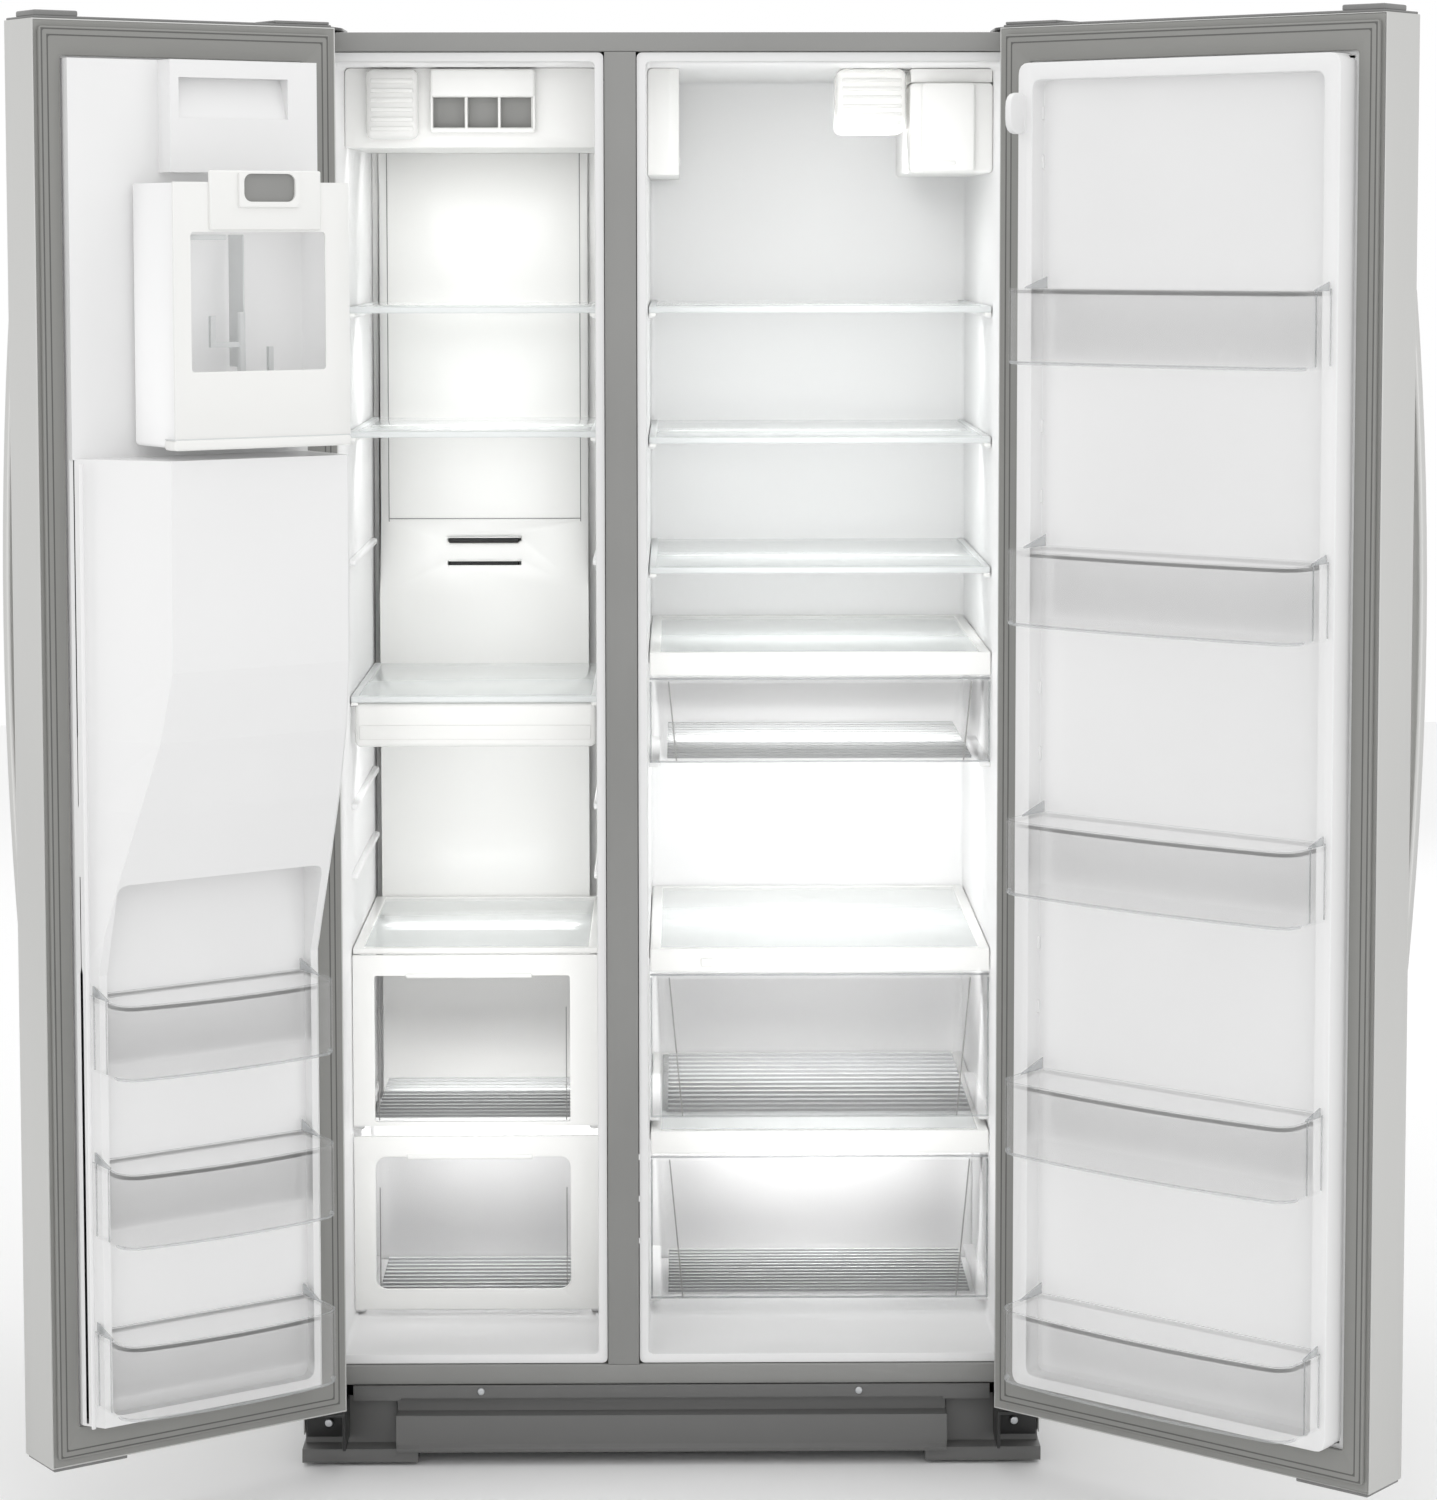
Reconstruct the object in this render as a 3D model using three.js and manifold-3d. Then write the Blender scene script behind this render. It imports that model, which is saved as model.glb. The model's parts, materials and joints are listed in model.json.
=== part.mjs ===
// Side by side refrigerator, 36 inch class: a freezer on the left, a fresh-food
// compartment on the right, both doors standing open on their corner hinges.
// Millimetres. X runs to the right, Y to the back, Z up. Every piece is drawn
// where it sits with the doors shut (cabinet face at Y 0, floor at Z 0); each
// door's pieces hang in a group that turns about its hinge pin.
import * as THREE from 'three';
import { mergeVertices } from 'three/addons/utils/BufferGeometryUtils.js';
import Module from 'manifold-3d';

const wasm = await Module();
wasm.setup();

// ---- driving dimensions ----------------------------------------------------
const CABINET_W = 911;            // steel wrapper, side to side
const CABINET_H = 1756;           // floor to the top of the wrapper
const CABINET_D = 690;            // face to the outside of the back panel
const STILE = 38.5;               // face frame, width of each side
const TOP_RAIL = 23;              // face frame, height of the top rail
const BOTTOM_RAIL = 24.4;         // face frame, height of the bottom rail
const BOTTOM_RAIL_Z = 99;         // lower edge of the bottom rail
const FREEZER_OPENING = 339;      // left stile to mullion
const MULLION = 38;               // width of the centre mullion
const LIP = 12;                   // liner lip between opening and inner wall
const LINER_WALL = 3;
const CORNER_R = 8;               // corners of the liners
const LINER_DEPTH = 637;          // face to the liner's back wall
const SHEET = 1.2;                // cabinet sheet steel
const CLEAR = 0.3;                // gap where two fixed pieces meet
const SLIDE_CLEAR = 1.5;          // gap beside what slides or lifts out
const WRAPPER_Z = 32;             // lower edge of the wrapper and base pan
const STEP_Y = 440;               // where the floor steps up over the machinery
const STEP_H = 195;               // height of that step above the floor
const SHELF_Y = 170;              // front edge of every shelf
const SHELF_T = 6;
const LEDGE = 8;                  // moulded ledges under shelves and drawers
const FREEZER_SHELF_DROP = [298, 454];       // shelf tops below the ceiling
const FREEZER_LOW_SHELF = 797;               // third shelf above the floor
const FRIDGE_SHELF_DROP = [298, 462, 626];
const DELI_TOP_DROP = 732;        // deli drawer cover below the ceiling
const DELI_H = 109;               // deli drawer
const BAND_H = 29.5;              // white front band of a drawer cover
const COVER_T = 8;
const CRISPER_TOP = 476;          // upper crisper cover above the floor
const CRISPER_H = 186;            // upper and lower crisper drawers
const FREEZER_COVER_TOP = 477;    // freezer drawer cover above the floor
const FREEZER_DRAWER_H = 219;     // upper freezer drawer
const FREEZER_DRAWER_LOW_H = 224; // lower freezer drawer
const DRAWER_WALL = 2.5;
const COVER_TO_WALL = 60;         // freezer rear air cover, in front of the liner's back wall
const ICEMAKER_H = 99;
const ICEMAKER_TO_COVER = 77;     // gap behind the ice maker, to the rear air cover
const DIFFUSER_TO_WALL = 17;      // gaps behind the diffuser and the filter, to the back wall
const FILTER_TO_WALL = 137;
const DOOR_T = 80;                // door, steel face to steel back edge
const DOOR_BACK_Y = -8;           // back edge of a shut door
const DOOR_Z0 = 89;
const DOOR_OVER_TOP = 1.5;        // the door stands this much over the cabinet
const DOOR_SIDE_INSET = 1;
const DOOR_SPLIT_X = -64.5;       // middle of the gap between the doors
const DOOR_GAP = 6;
const DOOR_SHEET = 1.5;
const DOOR_EDGE_R = 8;
const PIN_TO_FRONT = 38;          // hinge pins, behind the front of the shut door
const PIN_INSET = 20;             // hinge pins, in from the door's side
const PIN_R = 6;
const PIN_BORE_R = 7;
const FREEZER_DOOR_OPEN = 146;    // degrees open as it stands
const FRIDGE_DOOR_OPEN = 140.5;
const GASKET_T = 6.4;
const DOOR_LINER_T = 2.7;
const DYKE_Y = 28;                // height of the door liners' raised edge
const BIN_WALL = 2.5;
const BIN_H = 88;
const BIN_DEPTH_Y = 115;          // front of the door bins, door shut
const FREEZER_BIN_Z = [28, 227, 421];        // bin floors above the liner floor
const FRIDGE_BIN_Z = [28, 301, 609, 925, 1228];
const ICE_BIN_H = 301;
const ICE_BIN_DROP = 148;         // top of the ice bin below the ceiling
const NICHE_Z = 940;              // dispenser niche, lower edge
const NICHE_H = 390;
const NICHE_W = 218;
const NICHE_DEPTH = 88;
const HANDLE_Z = 1062;            // middle of both handles
const HANDLE_L = 785;
const HANDLE_W = 24;
const HANDLE_T = 16;
const HANDLE_OUT = 62;            // furthest reach in front of the door
const HANDLE_END_OUT = 28;
const HANDLE_INSET = 16;
const WHEEL_R = 20;
const AXLE_R = 5;
const WHEEL_X = 400;
const WHEEL_Y = 600;

// ---- what follows from them ------------------------------------------------
const SIDE = CABINET_W / 2;
const OPEN_X = SIDE - STILE;
const OPEN_Z0 = BOTTOM_RAIL_Z + BOTTOM_RAIL;
const OPEN_Z1 = CABINET_H - TOP_RAIL;
const MULLION_X0 = -OPEN_X + FREEZER_OPENING;
const MULLION_X1 = MULLION_X0 + MULLION;
const FLOOR = OPEN_Z0 + LIP;
const CEILING = OPEN_Z1 - LIP;
const freezer = { x0: -OPEN_X + LIP, x1: MULLION_X0 - LIP };
const fridge = { x0: MULLION_X1 + LIP, x1: OPEN_X - LIP };
const DOOR_FRONT_Y = DOOR_BACK_Y - DOOR_T;
const PIN_Y = DOOR_FRONT_Y + PIN_TO_FRONT;
const DOOR_Z1 = CABINET_H + DOOR_OVER_TOP;
const PIN_X = SIDE - DOOR_SIDE_INSET - PIN_INSET;
const BACK_INNER_Y = CABINET_D - SHEET;
const LINER_Y0 = 4;
const COVER_Y = LINER_DEPTH - COVER_TO_WALL;
const DIFFUSER_BACK = LINER_DEPTH - DIFFUSER_TO_WALL;
const FILTER_BACK = LINER_DEPTH - FILTER_TO_WALL;

// ---- materials -------------------------------------------------------------
const finish = (color, roughness, metalness = 0, opacity = 1) =>
  new THREE.MeshStandardMaterial({
    color, roughness, metalness, opacity, transparent: opacity < 1,
  });
const graySteel = finish(0x8d8d8a, 0.5, 0.2);
const stainless = finish(0xbfc0bf, 0.32, 0.9);
const whitePlastic = finish(0xf0f0ee, 0.45);
const grayPlastic = finish(0x70706e, 0.6);
const clearPlastic = finish(0xe8eef0, 0.12, 0, 0.35);
const shelfGlass = finish(0xdfeaea, 0.06, 0, 0.4);
const gasketRubber = finish(0x8a8a86, 0.75);
const hingeSteel = finish(0x3a3a3a, 0.45, 0.7);
const zincSteel = finish(0x9a9c9c, 0.4, 0.8);
const blackPaint = finish(0x1c1c1d, 0.5, 0.3);
const finAluminium = finish(0xb4b7b8, 0.4, 0.9);
const darkPlastic = finish(0x2a2b2c, 0.5);
const footPlastic = finish(0x3c3c3c, 0.7);

// ---- geometry helpers ------------------------------------------------------
const box = (x0, x1, y0, y1, z0, z1) =>
  new THREE.BoxGeometry(x1 - x0, y1 - y0, z1 - z0)
    .translate((x0 + x1) / 2, (y0 + y1) / 2, (z0 + z1) / 2);

// A closed outline through the points, every corner rounded by r.
function outline(points, r = 0) {
  const shape = new THREE.Shape();
  const at = (i) => new THREE.Vector2(...points[(i + points.length) % points.length]);
  for (let i = 0; i < points.length; i += 1) {
    const [before, here, after] = [at(i - 1), at(i), at(i + 1)];
    const reach = Math.min(r, here.distanceTo(before) / 2, here.distanceTo(after) / 2);
    const a = here.clone().add(before.clone().sub(here).setLength(reach));
    const b = here.clone().add(after.clone().sub(here).setLength(reach));
    if (i === 0) shape.moveTo(a.x, a.y);
    else shape.lineTo(a.x, a.y);
    if (r > 0) shape.quadraticCurveTo(here.x, here.y, b.x, b.y);
  }
  shape.closePath();
  return shape;
}
const rect = (a0, a1, b0, b1) => [[a0, b0], [a1, b0], [a1, b1], [a0, b1]];
const extruded = (shape, depth, curveSegments) =>
  new THREE.ExtrudeGeometry(shape, { depth, bevelEnabled: false, curveSegments });
// Outline in X and Y, standing from z0 to z1.
const alongZ = (shape, z0, z1, segments = 4) =>
  extruded(shape, z1 - z0, segments).translate(0, 0, z0);
// Outline in X and Z, reaching from y0 to y1.
const alongY = (shape, y0, y1, segments = 4) =>
  extruded(shape, y1 - y0, segments).rotateX(Math.PI / 2).translate(0, y1, 0);
// Outline in Y and Z, reaching from x0 to x1.
const X_BASIS = new THREE.Matrix4().makeBasis(
  new THREE.Vector3(0, 1, 0), new THREE.Vector3(0, 0, 1), new THREE.Vector3(1, 0, 0));
const alongX = (shape, x0, x1, segments = 4) =>
  extruded(shape, x1 - x0, segments).applyMatrix4(X_BASIS).translate(x0, 0, 0);
const rod = (r, length, segments = 16) =>
  new THREE.CylinderGeometry(r, r, length, segments).rotateX(Math.PI / 2);
const rodZ = (r, x, y, z0, z1, segments = 16) =>
  rod(r, z1 - z0, segments).translate(x, y, (z0 + z1) / 2);
const rodX = (r, x0, x1, y, z, segments = 16) =>
  rod(r, x1 - x0, segments).rotateY(Math.PI / 2).translate((x0 + x1) / 2, y, z);

// A skin through level sections, each a list of [x, y] and its z.
function loft(sections) {
  const n = sections[0].points.length;
  const vertices = sections.flatMap(({ points, z }) => points.flatMap(([x, y]) => [x, y, z]));
  const faces = [];
  for (let s = 0; s < sections.length - 1; s += 1) {
    for (let i = 0; i < n; i += 1) {
      const j = (i + 1) % n;
      const [a, b, c, d] = [s * n + i, s * n + j, (s + 1) * n + j, (s + 1) * n + i];
      faces.push(a, b, c, a, c, d);
    }
  }
  const flat = (points) => points.map(([x, y]) => new THREE.Vector2(x, y));
  for (const [s, up] of [[0, false], [sections.length - 1, true]]) {
    for (const [a, b, c] of THREE.ShapeUtils.triangulateShape(flat(sections[s].points), [])) {
      const base = s * n;
      if (up) faces.push(base + a, base + b, base + c);
      else faces.push(base + a, base + c, base + b);
    }
  }
  const geometry = new THREE.BufferGeometry();
  geometry.setAttribute('position', new THREE.Float32BufferAttribute(vertices, 3));
  geometry.setIndex(faces);
  return geometry;
}

function toSolid(geometry) {
  const bare = geometry.clone();
  bare.deleteAttribute('normal');
  bare.deleteAttribute('uv');
  const merged = mergeVertices(bare, 1e-4);
  return new wasm.Manifold(new wasm.Mesh({
    numProp: 3,
    vertProperties: new Float32Array(merged.attributes.position.array),
    triVerts: new Uint32Array(merged.index.array),
  }));
}
function toGeometry(solid) {
  const mesh = solid.getMesh();
  const geometry = new THREE.BufferGeometry();
  geometry.setAttribute('position', new THREE.BufferAttribute(mesh.vertProperties, 3));
  geometry.setIndex(new THREE.BufferAttribute(mesh.triVerts, 1));
  const flat = geometry.toNonIndexed();
  flat.computeVertexNormals();
  return flat;
}
const join = (...shapes) => toGeometry(
  shapes.map(toSolid).reduce((all, next) => all.add(next)));
const cut = (shape, ...tools) => toGeometry(
  tools.map(toSolid).reduce((left, tool) => left.subtract(tool), toSolid(shape)));
const common = (a, b) => toGeometry(toSolid(a).intersect(toSolid(b)));

// ---- scene graph -----------------------------------------------------------
const refrigerator = new THREE.Group();
const cabinet = new THREE.Group();
refrigerator.add(cabinet);

// A door's pieces are drawn shut: the inner group carries them back to the pin.
function doorGroup(pinX, turn) {
  const hinge = new THREE.Group();
  hinge.position.set(pinX, PIN_Y, 0);
  hinge.rotation.z = THREE.MathUtils.degToRad(turn);
  const shut = new THREE.Group();
  shut.position.set(-pinX, -PIN_Y, 0);
  hinge.add(shut);
  refrigerator.add(hinge);
  return shut;
}
const freezerDoor = doorGroup(-PIN_X, -FREEZER_DOOR_OPEN);
const fridgeDoor = doorGroup(PIN_X, FRIDGE_DOOR_OPEN);

function piece(parent, name, geometry, material) {
  const mesh = new THREE.Mesh(geometry, material);
  mesh.name = name;
  parent.add(mesh);
  return mesh;
}

// ---- cabinet shell ---------------------------------------------------------
const FRAME_D = 14;
function buildShell() {
  const top = CABINET_H;
  const profile = (o) => rect(-SIDE + o, SIDE - o, WRAPPER_Z - (o ? 1 : 0), top - o);
  piece(cabinet, 'cabinet_wrapper', cut(
    alongY(outline(profile(0)), FRAME_D + CLEAR, BACK_INNER_Y - CLEAR),
    alongY(outline(profile(SHEET)), FRAME_D - 1, BACK_INNER_Y + 1),
  ), graySteel);

  const ring = (o, y0, y1) => {
    const shape = outline(rect(-SIDE + o, SIDE - o, BOTTOM_RAIL_Z + o, top - o));
    shape.holes.push(outline(rect(-OPEN_X - o, OPEN_X + o, OPEN_Z0 - o, OPEN_Z1 + o)));
    return alongY(shape, y0, y1);
  };
  piece(cabinet, 'face_frame', cut(ring(0, 0, FRAME_D), ring(SHEET, SHEET, FRAME_D + 1)), graySteel);

  const mullion = (o, y0, y1) => box(
    MULLION_X0 + o, MULLION_X1 - o, y0, y1, OPEN_Z0 + CLEAR + o, OPEN_Z1 - CLEAR - o);
  piece(cabinet, 'center_mullion', cut(
    mullion(0, 0, FRAME_D), mullion(SHEET, SHEET, FRAME_D + 1)), graySteel);

  const slots = [];
  const slotPitch = 62;
  for (const z of [90, 150, 210]) {
    for (let x = -5; x <= 5; x += 1) {
      slots.push(box(x * slotPitch - 20, x * slotPitch + 20, BACK_INNER_Y - 1, CABINET_D + 1, z, z + 8));
    }
  }
  piece(cabinet, 'back_panel', cut(
    box(-SIDE, SIDE, BACK_INNER_Y, CABINET_D, WRAPPER_Z, top), ...slots), graySteel);

  const inner = SIDE - SHEET - CLEAR;
  const panFront = 40;
  const ears = [];
  const windows = [];
  const bores = [];
  for (const side of [-1, 1]) {
    const x = side * WHEEL_X;
    const earX = x - side * 20;
    ears.push(box(earX - 2, earX + 2, WHEEL_Y - 14, WHEEL_Y + 14, WHEEL_R - 9, WRAPPER_Z + 1));
    bores.push(rodX(AXLE_R + CLEAR, earX - 3, earX + 3, WHEEL_Y, WHEEL_R));
    windows.push(box(x - 12, x + 12, WHEEL_Y - WHEEL_R - 4, WHEEL_Y + WHEEL_R + 4,
      WRAPPER_Z - 1, WRAPPER_Z + 40));
  }
  piece(cabinet, 'base_pan', cut(
    join(box(-inner, inner, panFront, BACK_INNER_Y - CLEAR, WRAPPER_Z, WRAPPER_Z + 2), ...ears),
    ...windows, ...bores), zincSteel);
}

// ---- compartment liners ----------------------------------------------------
// One vacuum-formed tub: lip, walls, a floor that steps up over the machinery,
// and a ledge on each side for every height where something rests.
function linerTub(room, openX0, openX1, ledges, crossbars) {
  const w = LINER_WALL;
  const stepTop = FLOOR + STEP_H;
  const stepRun = 30;
  const side = (o, y0) => outline([
    [y0, FLOOR - o], [STEP_Y + o, FLOOR - o], [STEP_Y + stepRun + o, stepTop - o],
    [LINER_DEPTH + o, stepTop - o], [LINER_DEPTH + o, CEILING + o], [y0, CEILING + o]]);
  const tube = (o, y0, y1) => alongY(
    outline(rect(room.x0 - o, room.x1 + o, FLOOR - o, CEILING + o), CORNER_R + o), y0, y1);
  const outside = common(
    alongX(side(w, LINER_Y0), room.x0 - w, room.x1 + w),
    tube(w, LINER_Y0 - 1, LINER_DEPTH + w + 1));
  const inside = common(
    alongX(side(0, -5), room.x0, room.x1), tube(0, -5, LINER_DEPTH + 1));
  const lip = outline(rect(openX0 + CLEAR, openX1 - CLEAR, OPEN_Z0 + CLEAR, OPEN_Z1 - CLEAR));
  lip.holes.push(outline(rect(room.x0, room.x1, FLOOR, CEILING), CORNER_R));
  const ribs = [];
  for (const [z, y0, y1, reach = LEDGE] of ledges) {
    ribs.push(box(room.x0 - 1, room.x0 + reach, y0, y1, z - LEDGE, z));
    ribs.push(box(room.x1 - reach, room.x1 + 1, y0, y1, z - LEDGE, z));
  }
  for (const [z0, z1] of crossbars) {
    ribs.push(box(room.x0 - 1, room.x1 + 1, SHELF_Y - 4, SHELF_Y + 12, z0, z1));
  }
  return join(cut(outside, inside), alongY(lip, LINER_Y0, LINER_Y0 + w), ...ribs);
}

// heights of what rests on the ledges
const freezerShelves = [...FREEZER_SHELF_DROP.map((d) => CEILING - d), FLOOR + FREEZER_LOW_SHELF];
const fridgeShelves = FRIDGE_SHELF_DROP.map((d) => CEILING - d);
const freezerCoverTop = FLOOR + FREEZER_COVER_TOP;
const deliTop = CEILING - DELI_TOP_DROP;
const crisperTop = FLOOR + CRISPER_TOP;
const crisperLowTop = crisperTop - BAND_H - 2 - CRISPER_H - 17;
const upperFreezerZ1 = freezerCoverTop - COVER_T - 1;
const upperFreezerZ0 = upperFreezerZ1 - FREEZER_DRAWER_H;
const lowerFreezerZ1 = upperFreezerZ0 - 14;
const lowerFreezerZ0 = lowerFreezerZ1 - FREEZER_DRAWER_LOW_H;
const deliZ1 = deliTop - BAND_H - 2;
const deliZ0 = deliZ1 - DELI_H;
const crisperZ1 = crisperTop - BAND_H - 2;
const crisperZ0 = crisperZ1 - CRISPER_H;
const crisperLowZ1 = crisperLowTop - BAND_H - 2;
const crisperLowZ0 = crisperLowZ1 - CRISPER_H;
const DRAWER_BACK = LINER_DEPTH - 72;
const LOW_DRAWER_BACK = STEP_Y - 8;
const SHELF_BACK_FREEZER = COVER_Y - 30;
const SHELF_BACK_FRIDGE = LINER_DEPTH - 5;
const rest = (z) => z - CLEAR;

function buildLiners() {
  const shelfLedge = (z, back) => [rest(z - SHELF_T), SHELF_Y + 12, back - 12];
  const coverLedge = (z, back) => [rest(z - COVER_T), SHELF_Y + 12, back - 12];
  const drawerLedge = (z, back) => [rest(z), SHELF_Y + 12, back - 12, 16];
  piece(cabinet, 'freezer_liner', linerTub(freezer, -OPEN_X, MULLION_X0, [
    ...freezerShelves.map((z) => shelfLedge(z, SHELF_BACK_FREEZER)),
    coverLedge(freezerCoverTop, SHELF_BACK_FREEZER),
    drawerLedge(upperFreezerZ0, STEP_Y), drawerLedge(lowerFreezerZ0, STEP_Y - 20),
  ], [[lowerFreezerZ1 + 1, upperFreezerZ0 - 1]]), whitePlastic);
  piece(cabinet, 'fridge_liner', linerTub(fridge, MULLION_X1, OPEN_X, [
    ...fridgeShelves.map((z) => shelfLedge(z, SHELF_BACK_FRIDGE)),
    coverLedge(deliTop, SHELF_BACK_FRIDGE), drawerLedge(deliZ0, DRAWER_BACK),
    coverLedge(crisperTop, SHELF_BACK_FRIDGE), drawerLedge(crisperZ0, DRAWER_BACK),
    coverLedge(crisperLowTop, SHELF_BACK_FRIDGE), drawerLedge(crisperLowZ0, STEP_Y - 20),
  ], []), whitePlastic);
}

// ---- base grille, feet and rollers -----------------------------------------
const HINGE_BRACKET_X = 57;       // bottom hinge bracket, in from the side
function buildBase() {
  const pocketX = 340;
  const blockX = 313;
  const stripX = SIDE - HINGE_BRACKET_X - 6;
  const t = 3;
  const top = BOTTOM_RAIL_Z - CLEAR;
  const front = outline([
    [-3, top], [-3, top - 16], [9, top - 18], [9, top - 35], [-7, top - 37], [-7, 26],
    [-12, 22], [-12, 17], [20, 17], [20, 17 + t], [-9, 17 + t], [-9, 21], [-4, 26],
    [-4, top - 37 - t + 2], [12, top - 33 - t], [12, top - 15], [0, top - 13], [0, top]]);
  const blocks = [];
  for (const side of [-1, 1]) {
    const span = (a, b) => (side < 0 ? [-b, -a] : [a, b]);
    const block = box(...span(blockX, SIDE), -9, 40, 4, 21);
    const wall = box(...span(pocketX, SIDE - 2), 18, 21, 20, top - 18);
    const cheek = box(...span(pocketX - 4, pocketX), -7, 21, 20, top - 37);
    const strip = box(...span(pocketX - 5, stripX), -3, 0, top - 16, top);
    const roof = box(...span(pocketX - 5, stripX), -3, 21, top - 19, top - 16);
    blocks.push(block, wall, cheek, strip, roof);
  }
  piece(cabinet, 'base_grille', join(alongX(front, -pocketX + 1, pocketX - 1), ...blocks), grayPlastic);

  const footTop = WRAPPER_Z - CLEAR;
  const foot = [[0, 0], [17, 0], [17, 7], [9, 11], [7, 11], [7, footTop], [0, footTop]]
    .map(([r, z]) => new THREE.Vector2(r, z));
  for (const [name, side] of [['front_leg_left', -1], ['front_leg_right', 1]]) {
    const mesh = piece(cabinet, name, new THREE.LatheGeometry(foot, 20).rotateX(Math.PI / 2), footPlastic);
    mesh.position.set(side * (SIDE - 75), 75, 0);
  }
  const halfTread = 9;
  const end = WHEEL_X + halfTread;
  const roller = [
    [0, -end], [WHEEL_R, -end], [WHEEL_R, -end + 2 * halfTread], [AXLE_R, -end + 2 * halfTread],
    [AXLE_R, end - 2 * halfTread], [WHEEL_R, end - 2 * halfTread], [WHEEL_R, end], [0, end],
  ].map(([r, z]) => new THREE.Vector2(r, z));
  const wheels = piece(cabinet, 'rear_rollers',
    new THREE.LatheGeometry(roller, 24).rotateZ(-Math.PI / 2), footPlastic);
  wheels.position.set(0, WHEEL_Y, WHEEL_R);
}

// ---- hinges ----------------------------------------------------------------
const HINGE_PLATE_T = 4;
function buildHinges() {
  const plateZ = CABINET_H + DOOR_OVER_TOP + 0.6;
  for (const [side, word] of [[-1, 'left'], [1, 'right']]) {
    const x = side * PIN_X;
    const inner = side * (SIDE - 62);
    const outer = side * (SIDE - 3);
    const arm = outline([
      [outer, 8], [outer, PIN_Y - 12], [x - side * 16, PIN_Y - 12],
      [inner, 20], [inner, 96], [outer, 96]].map(([a, b]) => [a, b]), 6);
    const lower = Math.min(inner, outer);
    const upper = Math.max(inner, outer);
    const pad = box(lower + 6, upper - 6, 14, 90, CABINET_H + CLEAR, plateZ + 1);
    piece(cabinet, `top_hinge_${word}`, join(
      alongZ(arm, plateZ, plateZ + HINGE_PLATE_T, 3), pad,
      rodZ(PIN_R, x, PIN_Y, DOOR_Z1 - 16, plateZ + 1),
    ), hingeSteel);

    const shelfZ = DOOR_Z0 - 7;
    const x0 = Math.min(side * (SIDE - HINGE_BRACKET_X), side * (SIDE - 4));
    const x1 = Math.max(side * (SIDE - HINGE_BRACKET_X), side * (SIDE - 4));
    const web = side < 0 ? [x1 - 4, x1] : [x0, x0 + 4];
    piece(cabinet, `bottom_hinge_${word}`, join(
      box(x0, x1, PIN_Y - 14, 16, shelfZ - HINGE_PLATE_T, shelfZ),
      box(x0, x1, 12, 16, 30, shelfZ),
      box(web[0], web[1], PIN_Y + 4, 14, 30, shelfZ),
      rodZ(PIN_R + 6, x, PIN_Y, shelfZ - 1, DOOR_Z0 - 1.5),
      rodZ(PIN_R, x, PIN_Y, DOOR_Z0 - 2, DOOR_Z0 + 14),
    ), hingeSteel);
  }
}

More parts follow.
